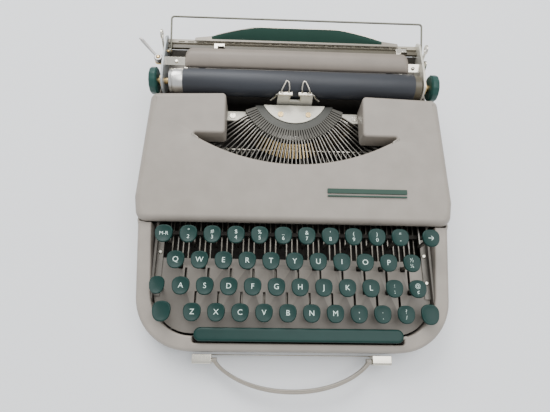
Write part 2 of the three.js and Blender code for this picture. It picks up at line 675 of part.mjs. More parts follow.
const LEFT_PLATE = -HALF + 6.4; // outer face of the left end plate
const RIGHT_PLATE = HALF - 9; // outer face of the right end plate
const PIN_RADIUS = 1.2;
const BAIL_PIVOT = [CARRIAGE_Y + 29, PLATEN_HEIGHT + 2];
const RELEASE_ROD = [CARRIAGE_Y + 33, PLATEN_HEIGHT - 6];
const RELEASE_ROD_RADIUS = 1.3;
const PAPER_LEVER_PIVOT = [CARRIAGE_Y + 14, PLATEN_HEIGHT - 8];
const RETURN_PIVOT = [LEFT_PLATE - 5, RAIL_Y];
const RETURN_SHELF = PLATEN_HEIGHT + 2; // top of the bracket that the return lever turns on
const RETURN_PIN_RADIUS = 1.5;
const STOP_RAIL = [CARRIAGE_Y + 33.5, CARRIAGE_Y + 37.5];
const SUPPORT_RAIL = [CARRIAGE_Y + 39.5, CARRIAGE_Y + 43.5];
const MARGIN_RAIL_BOTTOM = PLATEN_HEIGHT - 1;
const MARGIN_RAIL_TOP = MARGIN_RAIL_BOTTOM + 3;

function carriageFrame() {
  const outline = rounded(
    [
      [CARRIAGE_Y - 5, RAIL_TOP - 1],
      [CARRIAGE_Y + 28, RAIL_TOP - 2],
      [CARRIAGE_Y + 42, RAIL_TOP + 3],
      [CARRIAGE_Y + 46, PLATEN_HEIGHT - 2, 2],
      [CARRIAGE_Y + 46, PLATEN_HEIGHT + 4, 2],
      [CARRIAGE_Y + 40, PLATEN_HEIGHT + 9, 4],
      [CARRIAGE_Y + 8, PLATEN_HEIGHT + 12, 5],
      [CARRIAGE_Y - 9, PLATEN_HEIGHT + 10, 5],
      [CARRIAGE_Y - 13, PLATEN_HEIGHT + 2, 4],
      [CARRIAGE_Y - 13, PLATEN_HEIGHT - 6, 4],
    ],
    3,
  );
  const plates = [
    sideways(outline, LEFT_PLATE, LEFT_PLATE + SHEET),
    sideways(outline, RIGHT_PLATE - SHEET, RIGHT_PLATE),
  ];
  const x0 = LEFT_PLATE + 1;
  const x1 = RIGHT_PLATE - 1;
  const lip = RAIL_HALF_DEPTH + 0.5;
  const channel = [
    block(x0, x1, RAIL_Y - lip - 2, RAIL_Y + lip + 2, RAIL_TOP + 0.5, RAIL_TOP + 2.5),
    block(x0, x1, RAIL_Y - lip - 2, RAIL_Y - lip, RAIL_TOP - 3, RAIL_TOP + 1),
    block(x0, x1, RAIL_Y + lip, RAIL_Y + lip + 2, RAIL_TOP - 3, RAIL_TOP + 1),
  ];
  const rails = [STOP_RAIL, SUPPORT_RAIL].map(([front, back]) =>
    block(x0, x1, front, back, MARGIN_RAIL_BOTTOM, MARGIN_RAIL_TOP),
  );
  const studs = [
    rodX(LEFT_PLATE + 1, LEFT_PLATE + SHEET + 4.2, ...BAIL_PIVOT, PIN_RADIUS),
    rodX(RIGHT_PLATE - 1, RIGHT_PLATE + 3, ...BAIL_PIVOT, PIN_RADIUS),
    rodX(RIGHT_PLATE - 1, RIGHT_PLATE + 4.6, ...PAPER_LEVER_PIVOT, PIN_RADIUS),
  ];
  const [returnX, returnY] = RETURN_PIVOT;
  const shelf = [RETURN_SHELF - SHEET, RETURN_SHELF];
  const bracket = block(returnX - 4, LEFT_PLATE + 1, returnY - 4, returnY + 4, ...shelf);
  const bracketPin = rodZ(returnX, returnY, RETURN_SHELF - 1, RETURN_SHELF + 5, RETURN_PIN_RADIUS, 12);
  const across = [LEFT_PLATE - 5, RIGHT_PLATE + 5];
  const holes = [
    rodX(...across, PLATEN_Y, PLATEN_HEIGHT, PLATEN_SHAFT_RADIUS + RUNNING_GAP, 20),
    rodX(...across, ...RELEASE_ROD, RELEASE_ROD_RADIUS + RUNNING_GAP),
    block(LEFT_PLATE - 1, RIGHT_PLATE + 1, RAIL_Y - lip, RAIL_Y + lip, RAIL_BOTTOM, RAIL_TOP + 0.5),
  ];
  return cut(join([...plates, ...channel, ...rails, ...studs, bracket, bracketPin]), holes);
}
place("carriage_frame", carriageFrame(), STEEL);

// ---- Platen --------------------------------------------------------------------------------------
const PLATEN_LEFT = LEFT_PLATE + SHEET + 4.9;
const PLATEN_RIGHT = RIGHT_PLATE - SHEET - 1.2;
const KNOB_LEFT_INNER = LEFT_PLATE - 3.6;
const KNOB_RIGHT_INNER = RIGHT_PLATE + 5.5;
const SHAFT_GRIP = 4; // length of shaft end inside a knob

// Turned piece on the platen's axis, from a profile [x, radius] that runs from low x to high x.
function turnedX(profile, sides) {
  const points = profile.map(([x, radius]) => new THREE.Vector2(radius, x));
  const made = new THREE.LatheGeometry(points, sides).rotateZ(-Math.PI / 2);
  return solid(made.translate(0, PLATEN_Y, PLATEN_HEIGHT));
}

function platen() {
  const left = KNOB_LEFT_INNER - SHAFT_GRIP;
  const right = KNOB_RIGHT_INNER + SHAFT_GRIP;
  return turnedX(
    [
      [left, 0],
      [left, PLATEN_SHAFT_RADIUS],
      [PLATEN_LEFT, PLATEN_SHAFT_RADIUS],
      [PLATEN_LEFT, PLATEN_RADIUS - 0.4],
      [PLATEN_LEFT + 13, PLATEN_RADIUS - 0.4],
      [PLATEN_LEFT + 13, PLATEN_RADIUS],
      [PLATEN_RIGHT, PLATEN_RADIUS],
      [PLATEN_RIGHT, PLATEN_SHAFT_RADIUS],
      [right, PLATEN_SHAFT_RADIUS],
      [right, 0],
    ],
    24,
  );
}
place("platen", platen(), RUBBER);

// A knob with a blind bore for the shaft end; inner is its face towards the carriage.
function knob(inner, side) {
  const outer = inner + side * KNOB_LENGTH;
  const bottom = inner + side * (SHAFT_GRIP + GAP);
  const bore = PLATEN_SHAFT_RADIUS + GAP;
  const profile = [
    [bottom, 0],
    [bottom, bore],
    [inner, bore],
    [inner, KNOB_RADIUS - 1],
    [inner + side, KNOB_RADIUS],
    [outer - side, KNOB_RADIUS],
    [outer, KNOB_RADIUS - 1],
    [outer, 0],
  ];
  return turnedX(side < 0 ? profile.reverse() : profile, 18);
}
place("knob_left", knob(KNOB_LEFT_INNER, -1), GREEN);
place("knob_right", knob(KNOB_RIGHT_INNER, 1), GREEN);

// ---- Carriage fittings ---------------------------------------------------------------------------
function paperTable() {
  const front = PLATEN_Y + PLATEN_RADIUS + 0.6;
  const profile = new THREE.Shape([
    new THREE.Vector2(front, PLATEN_HEIGHT + 3.8),
    new THREE.Vector2(front + THIN_SHEET, PLATEN_HEIGHT + 3.2),
    new THREE.Vector2(front + 6.8, PLATEN_HEIGHT + 7.6),
    new THREE.Vector2(front + 16.2, PLATEN_HEIGHT + 10.4),
    new THREE.Vector2(front + 16.2, PLATEN_HEIGHT + 11.6),
    new THREE.Vector2(front + 6, PLATEN_HEIGHT + 9),
  ]);
  const left = PLATEN_LEFT + 13.5;
  const right = RIGHT_PLATE - 13.7;
  const sheet = sideways(profile, left, right);
  const footBottom = RAIL_TOP + 2.5 + GAP;
  const feet = [left + 14, right - 14].map((x) =>
    block(x - 3, x + 3, RAIL_Y - 2, RAIL_Y, footBottom, PLATEN_HEIGHT + 7.8),
  );
  return join([sheet, ...feet]);
}
place("paper_table", paperTable(), PAINT);

function marginStop(x) {
  const [front, back] = STOP_RAIL;
  const top = MARGIN_RAIL_TOP + 2;
  const outside = block(x - 5, x + 5, front - 1.8, back + 1.5, MARGIN_RAIL_BOTTOM - 1.6, top);
  const tab = block(x - 1.5, x + 5, front - 1.8, front - 0.6, top - 1, top + 4);
  const path = block(x - 6, x + 6, front - GAP, back + GAP, MARGIN_RAIL_BOTTOM - 5, MARGIN_RAIL_TOP + GAP);
  return cut(join([outside, tab]), [path]);
}
place("margin_stop_left", marginStop(-HALF + 57.5), NICKEL);
place("margin_stop_right", marginStop(HALF - 27), NICKEL);

// Paper support: a long low plate with a raised face, hinged over the rear margin rail.
const SUPPORT_HINGE = [CARRIAGE_Y + 41.5, MARGIN_RAIL_TOP + 2.6];
const SUPPORT_LEFT = -HALF + 34;
const SUPPORT_RIGHT = HALF - 30;

function paperSupport() {
  const [hingeY, hingeZ] = SUPPORT_HINGE;
  const middle = (SUPPORT_LEFT + SUPPORT_RIGHT) / 2;
  const flat = upright(
    rounded([
      [SUPPORT_LEFT, hingeY - 1.4],
      [SUPPORT_RIGHT, hingeY - 1.4],
      [SUPPORT_RIGHT, hingeY + 2],
      [middle + 60, hingeY + 7.5, 20],
      [middle - 60, hingeY + 7.5, 20],
      [SUPPORT_LEFT, hingeY + 2],
    ]),
    hingeZ - 0.6,
    hingeZ + 0.6,
  );
  const face = upright(
    rounded([
      [middle - 82, 0],
      [middle + 82, 0],
      [middle + 82, 2.4],
      [middle + 42, 12.4, 14],
      [middle - 42, 12.4, 14],
      [middle - 82, 2.4],
    ]),
    -0.6,
    0.6,
  );
  return flat.add(face.rotate([45, 0, 0]).translate([0, hingeY + 0.4, hingeZ]));
}
place("paper_support", paperSupport(), GREEN);

// Paper bail: a wire bar on two arms that swing about studs on the end plates.
// Swung forward, the bar comes to rest just above the top of the platen.
const BAIL_ARM = Math.hypot(31.7, PLATEN_RADIUS - 0.5);
const BAIL_REST = radians(18);
const BAIL_WIRE = 0.9;
const BAIL_LEFT = LEFT_PLATE + SHEET + 3.2;
const BAIL_RIGHT = RIGHT_PLATE + 1.6;

function paperBail() {
  const [pivotY, pivotZ] = BAIL_PIVOT;
  const along = (distance) => [
    pivotY + distance * Math.cos(BAIL_REST),
    pivotZ + distance * Math.sin(BAIL_REST),
  ];
  const bar = rodX(BAIL_LEFT - BAIL_WIRE, BAIL_RIGHT + BAIL_WIRE, ...along(BAIL_ARM), BAIL_WIRE, 8);
  const arms = [BAIL_LEFT, BAIL_RIGHT].map((x) =>
    rodBetween([x, ...along(2.6)], [x, ...along(BAIL_ARM)], BAIL_WIRE),
  );
  const eyes = [BAIL_LEFT, BAIL_RIGHT].map((x) =>
    sideways(circle(pivotY, pivotZ, 3.2, 10), x - 0.8, x + 0.8),
  );
  const bore = rodX(-HALF - 20, HALF + 20, pivotY, pivotZ, PIN_RADIUS + RUNNING_GAP, 10);
  return cut(join([bar, ...arms, ...eyes]), [bore]);
}
place("paper_bail", paperBail(), STEEL);

// Carriage return and line-space lever: a hub on an upright pin and a blade that leans away.
function returnLever() {
  const [x, y] = RETURN_PIVOT;
  const hub = rodZ(x, y, RETURN_SHELF + GAP, RETURN_SHELF + 4.5, 4);
  // A strip on edge, trimmed to rise towards its end.
  const rising = block(-20, 20, -5, 5, 0, 12).rotate([0, -14, 0]).translate([12, 0, RETURN_SHELF - 2.5]);
  const blade = block(1, 24, -0.8, 0.8, RETURN_SHELF + 2, RETURN_SHELF + 12).intersect(rising);
  const bore = rodZ(x, y, RETURN_SHELF - 5, RETURN_SHELF + 10, RETURN_PIN_RADIUS + RUNNING_GAP, 14);
  return cut(hub.add(blade.rotate([0, 0, 137]).translate([x, y, 0])), [bore]);
}
place("return_lever", returnLever(), STEEL);

function fingerRing(x0, x1, rodCentre, centre, radius) {
  const direction = new THREE.Vector2(...centre).sub(new THREE.Vector2(...rodCentre));
  const length = direction.length();
  const lean = Math.atan2(direction.y, direction.x);
  const middle = new THREE.Vector2(...rodCentre);
  const half = 1.4;
  const corners = [
    [0, -half],
    [length - radius + 1, -half],
    [length - radius + 1, half],
    [0, half],
  ].map(([along, side]) => {
    const corner = new THREE.Vector2(along, side);
    return corner.rotateAround(new THREE.Vector2(), lean).add(middle);
  });
  const arm = sideways(new THREE.Shape(corners), x0, x1);
  const ring = sideways(circle(...centre, radius, 14), x0, x1);
  return join([arm, ring]).subtract(sideways(circle(...centre, radius - 1.7, 12), x0 - 1, x1 + 1));
}

function carriageRelease() {
  const left = LEFT_PLATE - 3.6;
  const right = RIGHT_PLATE + 6.2;
  const leftCentre = [CARRIAGE_Y + 42, PLATEN_HEIGHT + 10];
  const rightCentre = [CARRIAGE_Y + 37.5, PLATEN_HEIGHT + 5.5];
  const leftRing = fingerRing(left, left + 1.6, RELEASE_ROD, leftCentre, 4.8);
  const rightRing = fingerRing(right, right + 1.6, RELEASE_ROD, rightCentre, 4.4);
  return join([rodX(left, right + 1, ...RELEASE_ROD, RELEASE_ROD_RADIUS), leftRing, rightRing]);
}
place("carriage_release_lever", carriageRelease(), STEEL);

function paperRelease() {
  const [y, z] = PAPER_LEVER_PIVOT;
  const x0 = RIGHT_PLATE + 3;
  const x1 = x0 + 1.5;
  const outline = rounded([
    [y - 3, z, 1.4],
    [y, z - 3, 1.4],
    [y + 3, z, 1.4],
    [y + 11, z + 14, 2.4],
    [y + 5.5, z + 17, 2.4],
  ]);
  const bore = rodX(x0 - 1, x1 + 1, y, z, PIN_RADIUS + RUNNING_GAP, 14);
  return sideways(outline, x0, x1).subtract(bore);
}
place("paper_release_lever", paperRelease(), STEEL);

// ---- Carrying handle -----------------------------------------------------------------------------
const HANDLE_AXIS_Y = -5;
const HANDLE_AXIS_Z = 17;
const HANDLE_LEFT = -67.5;
const HANDLE_RIGHT = 66;
const HANDLE_REACH = 26;
const HANDLE_THICK = 3.6;
const HANDLE_TALL = 8;
const HANDLE_PIN = 1.5;
const BRACKET_WIDTH = 16;

function handleArc(reachOut, grow) {
  const half = (HANDLE_RIGHT - HANDLE_LEFT) / 2 + grow;
  const middle = (HANDLE_LEFT + HANDLE_RIGHT) / 2;
  const points = [];
  const steps = 16;
  for (let i = 0; i <= steps; i++) {
    const angle = Math.PI * (i / steps);
    const x = middle - half * Math.sign(Math.cos(angle)) * Math.abs(Math.cos(angle)) ** 0.95;
    const y = HANDLE_AXIS_Y - reachOut * Math.abs(Math.sin(angle)) ** 1.5;
    points.push(new THREE.Vector2(x, y));
  }
  return points;
}

function carryHandle() {
  const low = HANDLE_AXIS_Z - HANDLE_TALL / 2;
  const high = HANDLE_AXIS_Z + HANDLE_TALL / 2;
  const outer = handleArc(HANDLE_REACH, 0);
  const inner = handleArc(HANDLE_REACH - HANDLE_THICK, -HANDLE_THICK).reverse();
  const strap = upright(new THREE.Shape([...outer, ...inner]), low, high);
  const ends = [
    [HANDLE_LEFT, HANDLE_LEFT + HANDLE_THICK],
    [HANDLE_RIGHT - HANDLE_THICK, HANDLE_RIGHT],
  ].map(([x0, x1]) => block(x0, x1, HANDLE_AXIS_Y - 2, HANDLE_AXIS_Y + 2, low, high));
  const pins = [
    rodX(HANDLE_LEFT - 6, HANDLE_LEFT + 1, HANDLE_AXIS_Y, HANDLE_AXIS_Z, HANDLE_PIN),
    rodX(HANDLE_RIGHT - 1, HANDLE_RIGHT + 6, HANDLE_AXIS_Y, HANDLE_AXIS_Z, HANDLE_PIN),
  ];
  return join([strap, ...ends, ...pins]);
}
place("carry_handle", carryHandle(), STRAP);

// Both handle brackets are pressed from one strip that lies along the front wall.
function handleMount() {
  const low = HANDLE_AXIS_Z - 5.5;
  const high = HANDLE_AXIS_Z + 5.5;
  const left = HANDLE_LEFT - GAP - 0.3;
  const right = HANDLE_RIGHT + GAP + 0.3;
  const strip = block(left - BRACKET_WIDTH, right + BRACKET_WIDTH, -1.1, -GAP, low - 2, low + 1);
  const blocks = [
    block(left - BRACKET_WIDTH, left, HANDLE_AXIS_Y - 3, -GAP, low, high),
    block(right, right + BRACKET_WIDTH, HANDLE_AXIS_Y - 3, -GAP, low, high),
  ];
  const bore = rodX(left - 7.5, right + 7.5, HANDLE_AXIS_Y, HANDLE_AXIS_Z, HANDLE_PIN + RUNNING_GAP, 14);
  return cut(join([strip, ...blocks]), [bore]);
}
place("handle_mount", handleMount(), NICKEL);

// The frame's origin lies on the table under the middle of the whole outline.
const outline = new THREE.Box3().setFromObject(group);
const middle = outline.getCenter(new THREE.Vector3());
group.position.set(-middle.x, -middle.y, -outline.min.z);

export default group;
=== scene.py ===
# A flat portable typewriter: the visible pieces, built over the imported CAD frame.
# Shapes are drawn in millimetres in the machine's own frame: X from the body's middle line to the
# typist's right, Y from the front rim away from the typist, Z up from the table.
import json
import math

import bmesh
import bpy
from mathutils import Matrix, Vector


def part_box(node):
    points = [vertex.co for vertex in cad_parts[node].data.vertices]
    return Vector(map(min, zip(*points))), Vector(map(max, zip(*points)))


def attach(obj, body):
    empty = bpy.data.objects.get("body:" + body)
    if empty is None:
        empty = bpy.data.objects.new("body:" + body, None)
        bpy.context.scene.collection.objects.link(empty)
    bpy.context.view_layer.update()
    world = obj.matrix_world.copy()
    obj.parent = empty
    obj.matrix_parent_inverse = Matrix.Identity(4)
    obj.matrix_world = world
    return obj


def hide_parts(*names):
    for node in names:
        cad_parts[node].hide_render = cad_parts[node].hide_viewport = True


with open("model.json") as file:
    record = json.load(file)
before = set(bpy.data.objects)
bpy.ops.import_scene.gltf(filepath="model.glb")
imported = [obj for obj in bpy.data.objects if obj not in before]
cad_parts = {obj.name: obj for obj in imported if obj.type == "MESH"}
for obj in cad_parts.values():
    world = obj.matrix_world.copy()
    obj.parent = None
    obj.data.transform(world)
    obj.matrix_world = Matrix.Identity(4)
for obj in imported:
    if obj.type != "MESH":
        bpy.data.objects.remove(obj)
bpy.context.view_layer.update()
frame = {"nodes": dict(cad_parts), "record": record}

SHELL_LOW, SHELL_HIGH = (Vector(corner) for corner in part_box("base_shell"))
BODY_FRONT = 1.7  # the front wall's distance behind the machine's own origin
SIDE_FLARE = 6.0  # how much each side of the body widens from the front corners to the hood
ORIGIN = Vector(((SHELL_LOW.x + SHELL_HIGH.x) / 2, SHELL_LOW.y - BODY_FRONT / 1000, 0.0))
JOINTS = {joint["name"]: joint for joint in frame["record"]["behaviour"]["joints"]}


def here(x, y, z):
    """A machine point in the frame's metres."""
    return ORIGIN + Vector((x, y, z)) / 1000


def cad(node):
    """x0, x1, y0, y1, z0, z1 of a CAD node at rest, in machine millimetres."""
    low, high = ((Vector(corner) - ORIGIN) * 1000 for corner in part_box(node))
    return low.x, high.x, low.y, high.y, low.z, high.z


def pivot(joint):
    """A joint's pivot, in machine millimetres."""
    return (Vector(JOINTS[joint]["pos_m"]) - ORIGIN) * 1000


# ---- Outlines ----
def rounded(corners, steps=5):
    """Closed outline through corners (x, y) or (x, y, radius)."""
    points = []
    for i, corner in enumerate(corners):
        point = Vector(corner[:2])
        radius = corner[2] if len(corner) > 2 else 0
        if not radius:
            points.append(point)
            continue
        before = (Vector(corners[i - 1][:2]) - point).normalized()
        after = (Vector(corners[(i + 1) % len(corners)][:2]) - point).normalized()
        half = math.acos(max(-1, min(1, before.dot(after)))) / 2
        centre = point + (before + after).normalized() * radius / math.sin(half)
        start = point + before * radius / math.tan(half) - centre
        end = point + after * radius / math.tan(half) - centre
        turn = math.atan2(start.x * end.y - start.y * end.x, start.dot(end))
        for k in range(steps + 1):
            points.append(centre + Matrix.Rotation(turn * k / steps, 2) @ start)
    return points


def card(x0, x1, y0, y1, front=0, back=None, steps=5):
    """A rectangle with its front and back corners rounded."""
    back = front if back is None else back
    return rounded([(x0, y0, front), (x1, y0, front), (x1, y1, back), (x0, y1, back)], steps)


def span(side, near, far, middle=0):
    """Two distances from a middle line, on side -1 or 1 of it, the lower one first."""
    return sorted((middle + side * near, middle + side * far))


def circle(x, y, radius, sides=32):
    turns = [2 * math.pi * i / sides for i in range(sides)]
    return [Vector((x + radius * math.cos(a), y + radius * math.sin(a))) for a in turns]


def crossed(points, levels):
    """The outline with a point added wherever it crosses one of the y levels."""
    made = []
    for i, point in enumerate(points):
        after = points[(i + 1) % len(points)]
        made.append(point)
        hits = [y for y in levels if min(point.y, after.y) + 0.01 < y < max(point.y, after.y) - 0.01]
        for y in sorted(hits, reverse=point.y > after.y):
            made.append(point.lerp(after, (y - point.y) / (after.y - point.y)))
    return made


def inward(points):
    """For each point of a counter-clockwise outline, the way into it, longer at sharp corners."""
    ways = []
    for i, point in enumerate(points):
        before = (point - points[i - 1]).normalized()
        after = (points[(i + 1) % len(points)] - point).normalized()
        way = Vector((-before.y - after.y, before.x + after.x)).normalized()
        ways.append(way / max(0.6, way.dot(Vector((-after.y, after.x)))))
    return ways


def inset(points, distance):
    return [point + way * distance for point, way in zip(points, inward(points))]


# ---- Solids ----
class Shape:
    """A mesh in machine millimetres that grows by rings, caps and whole solids."""

    def __init__(self):
        self.mesh = bmesh.new()

    def ring(self, points):
        return [self.mesh.verts.new(point) for point in points]

    def skin(self, rings):
        for low, high in zip(rings, rings[1:]):
            for i in range(len(low)):
                self.mesh.faces.new((low[i - 1], low[i], high[i], high[i - 1]))

    def cap(self, ring):
        self.mesh.faces.new(ring)

    def fill(self, *rings):
        """Closes the area between an outer ring and any rings inside it."""
        edges = []
        for ring in rings:
            for i in range(len(ring)):
                pair = (ring[i - 1], ring[i])
                edges.append(self.mesh.edges.get(pair) or self.mesh.edges.new(pair))
        bmesh.ops.triangle_fill(self.mesh, use_beauty=True, use_dissolve=False, edges=edges)

    def loft(self, rings):
        made = [self.ring(points) for points in rings]
        self.skin(made)
        self.cap(made[0])
        self.cap(made[-1])
        return self

    def band(self, spots, x, y, sides):
        """A ring about a z axis at x, y: its section is a closed loop of (height, radius)."""
        rings = [self.ring([(p, q, z) for p, q in circle(x, y, r, sides)]) for z, r in spots]
        self.skin([*rings, rings[0]])
        return self

    def prism(self, outline, z0, z1):
        return self.loft([[(x, y, z) for x, y in outline] for z in (z0, z1)])

    def sideways(self, outline, x0, x1):
        """An outline in (y, z), drawn out along x."""
        return self.loft([[(x, y, z) for y, z in outline] for x in (x0, x1)])

    def upright(self, outline, y0, y1):
        """An outline in (x, z), drawn out along y."""
        return self.loft([[(x, y, z) for x, z in outline] for y in (y0, y1)])

    def block(self, x0, x1, y0, y1, z0, z1):
        return self.prism([(x0, y0), (x1, y0), (x1, y1), (x0, y1)], z0, z1)

    def panel(self, outline, holes, z0, z1):
        """A flat sheet with holes."""
        loops = [outline, *holes]
        faces = []
        for z in (z0, z1):
            faces.append([self.ring([(x, y, z) for x, y in loop]) for loop in loops])
            self.fill(*faces[-1])
        for low, high in zip(*faces):
            self.skin([low, high])
        return self

    def turned(self, profile, centre, axis="X", sides=32, wave=None):
        """A profile of (along, radius) turned about an axis; wave(i) scales the radius round it."""
        rings = []
        for along, radius in profile:
            ring = []
            for i in range(sides):
                angle = 2 * math.pi * i / sides
                out = radius * (wave(i) if wave else 1)
                a, b = out * math.cos(angle), out * math.sin(angle)
                ring.append(Vector((along, a, b) if axis == "X" else (a, b, along)) + Vector(centre))
            rings.append(ring)
        return self.loft(rings)

    def tube(self, path, radius, sides=10):
        points = [Vector(point) for point in path]
        side = (points[1] - points[0]).orthogonal().normalized()
        rings = []
        for i, point in enumerate(points):
            way = (points[min(i + 1, len(points) - 1)] - points[max(i - 1, 0)]).normalized()
            side = (side - way * side.dot(way)).normalized()
            up = way.cross(side)
            turns = [2 * math.pi * k / sides for k in range(sides)]
            rings.append([point + (side * math.cos(a) + up * math.sin(a)) * radius for a in turns])
        return self.loft(rings)

    def hoop(self, x0, x1, y, z, radius, hole, sides=28):
        """A flat ring that faces along x."""
        spots = [(x0, radius), (x1, radius), (x1, hole), (x0, hole)]
        rings = [self.ring([(x, p, q) for p, q in circle(y, z, r, sides)]) for x, r in spots]
        self.skin([*rings, rings[0]])
        return self


def bent(corners, radius, steps=6):
    """A path through corners in space, each turned by a curve."""
    points = [Vector(corners[0])]
    for before, corner, after in zip(corners, corners[1:], corners[2:]):
        corner = Vector(corner)
        start = corner + (Vector(before) - corner).normalized() * radius
        end = corner + (Vector(after) - corner).normalized() * radius
        for k in range(steps + 1):
            t = k / steps
            points.append(start * (1 - t) ** 2 + corner * 2 * t * (1 - t) + end * t * t)
    return [*points, Vector(corners[-1])]


def placed(name, data):
    made = bpy.data.objects.new(name, data)
    bpy.context.scene.collection.objects.link(made)
    return made


def piece(name, shape, body, slot, replaces=(), finish=None, bevel=0.0, sheet=0.0, broad=False):
    """Makes a Blender object of a shape, hung on its CAD body."""
    bmesh.ops.recalc_face_normals(shape.mesh, faces=shape.mesh.faces)
    for vertex in shape.mesh.verts:
        vertex.co = here(*vertex.co)
    mesh = bpy.data.meshes.new(name)
    shape.mesh.to_mesh(mesh)
    shape.mesh.free()
    mesh.shade_smooth()
    mesh.set_sharp_from_angle(angle=math.radians(38))
    mesh.materials.append(finish or FINISHES[slot])
    made = placed(name, mesh)
    if sheet:
        solid = made.modifiers.new("sheet", "SOLIDIFY")
        solid.thickness = sheet / 1000
        solid.offset = -1
    if bevel:
        edge = made.modifiers.new("edge", "BEVEL")
        edge.width = bevel / 1000
        edge.segments = 2
        edge.limit_method = "ANGLE"
        edge.harden_normals = True
    if broad:
        even = made.modifiers.new("even", "WEIGHTED_NORMAL")
        even.keep_sharp = True
    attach(made, body)
    if replaces:
        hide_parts(*replaces)
    return made


# ---- Finishes ----
def finish(name, colour, roughness, metallic=0.0, drift=0.06, patch=60, grain=1800, bump=0.1,
           stretch=(1, 1, 1), worn=None, spread=0.07, shine=0.5):
    """A surface whose tone drifts in patches and whose gloss and relief follow a finer grain."""
    made = bpy.data.materials.new(name)
    made.use_nodes = True
    nodes, links = made.node_tree.nodes, made.node_tree.links

    def feed(target, inputs):
        """Sets each input, or joins it where the value is another node's output."""
        for socket, value in inputs.items():
            if isinstance(value, bpy.types.NodeSocket):
                links.new(value, target.inputs[socket])
            else:
                target.inputs[socket].default_value = value

    def node(kind, output, inputs):
        added = nodes.new(f"ShaderNode{kind}")
        feed(added, inputs)
        return added.outputs[output]

    place = node("Mapping", "Vector", {"Scale": stretch, "Vector": node("TexCoord", "Object", {})})
    broad, fine = (node("TexNoise", "Fac", {"Scale": scale, "Detail": detail, "Vector": place})
                   for scale, detail in ((patch, 6), (grain, 3)))
    shade = node("ValToRGB", "Color", {"Fac": broad})
    for element, share, spot in zip(shade.node.color_ramp.elements, (1 - drift, 1 + drift), (0.3, 0.7)):
        element.position = spot
        element.color = (*[min(1, c * share) for c in colour], 1)
    if worn:
        edges = node("NewGeometry", "Pointiness", {})
        mask = node("MapRange", "Result", {"From Min": 0.53, "From Max": 0.62, "To Max": 0.7,
            "Value": edges})
        blend = nodes.new("ShaderNodeMix")
        blend.data_type = "RGBA"
        feed(blend, {"B": (*worn, 1), "Factor": mask, "A": shade})
        shade = blend.outputs["Result"]
    low, high = max(0.03, roughness - spread), min(1, roughness + spread)
    gloss = node("MapRange", "Result", {"To Min": low, "To Max": high, "Value": fine})
    relief = node("Bump", "Normal", {"Strength": bump, "Distance": 0.0002, "Height": fine})
    feed(nodes["Principled BSDF"], {"Metallic": metallic, "Specular IOR Level": shine, "Base Color": shade,
        "Roughness": gloss, "Normal": relief})
    return made


FINISHES = {"body_paint": finish("enamel", (0.31, 0.275, 0.235), 0.5, grain=2200, bump=0.5,
    worn=(0.4, 0.37, 0.32)), "table_paint": finish("table_enamel", (0.235, 0.2, 0.165), 0.5, grain=1500,
    bump=0.25), "rail_paint": finish("rail_enamel", (0.2, 0.175, 0.12), 0.45, drift=0.1, bump=0.2,
    worn=(0.44, 0.4, 0.32)), "end_plate_paint": finish("plate_enamel", (0.36, 0.38, 0.38), 0.4,
    metallic=0.3, drift=0.1, bump=0.15), "support_paint": finish("green_enamel", (0.015, 0.05, 0.035),
    0.45, grain=1200, bump=0.15, worn=(0.1, 0.13, 0.1), shine=0.22),
    "key_green": finish("green_plastic", (0.005, 0.030, 0.025), 0.36, grain=700, bump=0.03, spread=0.05,
    shine=0.22), "legend_paint": finish("mint_print", (0.62, 0.78, 0.7), 0.45, drift=0.05, patch=300),
    "frame_steel": finish("grey_steel", (0.13, 0.12, 0.105), 0.45, metallic=0.7, drift=0.25, bump=0.2),
    # Typebar steel: dark steel, its colour darkened further as painted shade for the bars under the hood;
    # the stems and arms in this finish share it.
    "typebar_steel": finish("bar_steel", (0.2, 0.19, 0.17), 0.34, metallic=0.9, drift=0.3, patch=220),
    "nickel": finish("nickel_plate", (0.66, 0.62, 0.53), 0.24, metallic=1, drift=0.08, bump=0.04),
    "dark_chrome": finish("dark_plate", (0.26, 0.25, 0.24), 0.28, metallic=1, drift=0.15, bump=0.05),
    "platen_rubber": finish("hard_rubber", (0.028, 0.031, 0.038), 0.5, drift=0.25, patch=90, grain=1500,
    bump=0.2, stretch=(0.15, 1, 1)), "collar_metal": finish("turned_metal", (0.62, 0.61, 0.58), 0.3,
    metallic=1, drift=0.1, stretch=(3, 1, 1)), "handle_plastic": finish("strap_plastic",
    (0.3, 0.27, 0.225), 0.34, drift=0.08, grain=1500, bump=0.15), "foot_rubber": finish("foot_rubber",
    (0.02, 0.02, 0.02), 0.75, bump=0.4), "ribbon_cloth": finish("inked_cotton", (0.012, 0.012, 0.014),
    0.85, grain=4000, bump=0.6),}
CREAM = finish("cream_plate", (0.62, 0.59, 0.5), 0.35, metallic=0.35, drift=0.08)
BRASS = finish("brass", (0.58, 0.42, 0.2), 0.28, metallic=1, drift=0.15)
LENS_PAINT = finish("lens_plate", (0.3, 0.27, 0.22), 0.42, metallic=0.2, drift=0.1)
OLIVE = finish("olive_rail", (0.085, 0.072, 0.046), 0.4, drift=0.15)
BAND_GREY = finish("grey_band", (0.055, 0.055, 0.048), 0.42, metallic=0.5, drift=0.1)
SLOT_GREY = finish("slotted_ring", (0.075, 0.07, 0.058), 0.45, metallic=0.4, drift=0.2)
PLATE_GREY = finish("keyboard_plate", (0.15, 0.134, 0.113), 0.5, metallic=0.15, drift=0.16, patch=30,
    worn=(0.3, 0.27, 0.23))
# Key lever steel, its colour darkened as painted shade for the dim inside of the casing.
SHADED_LEVER_STEEL = finish("lever_steel_painted_shade", (0.17, 0.158, 0.135), 0.4, metallic=0.9, drift=0.3, patch=160)
BAIL_WIRE = finish("bail_wire", (0.16, 0.155, 0.125), 0.35, metallic=0.9, drift=0.1)
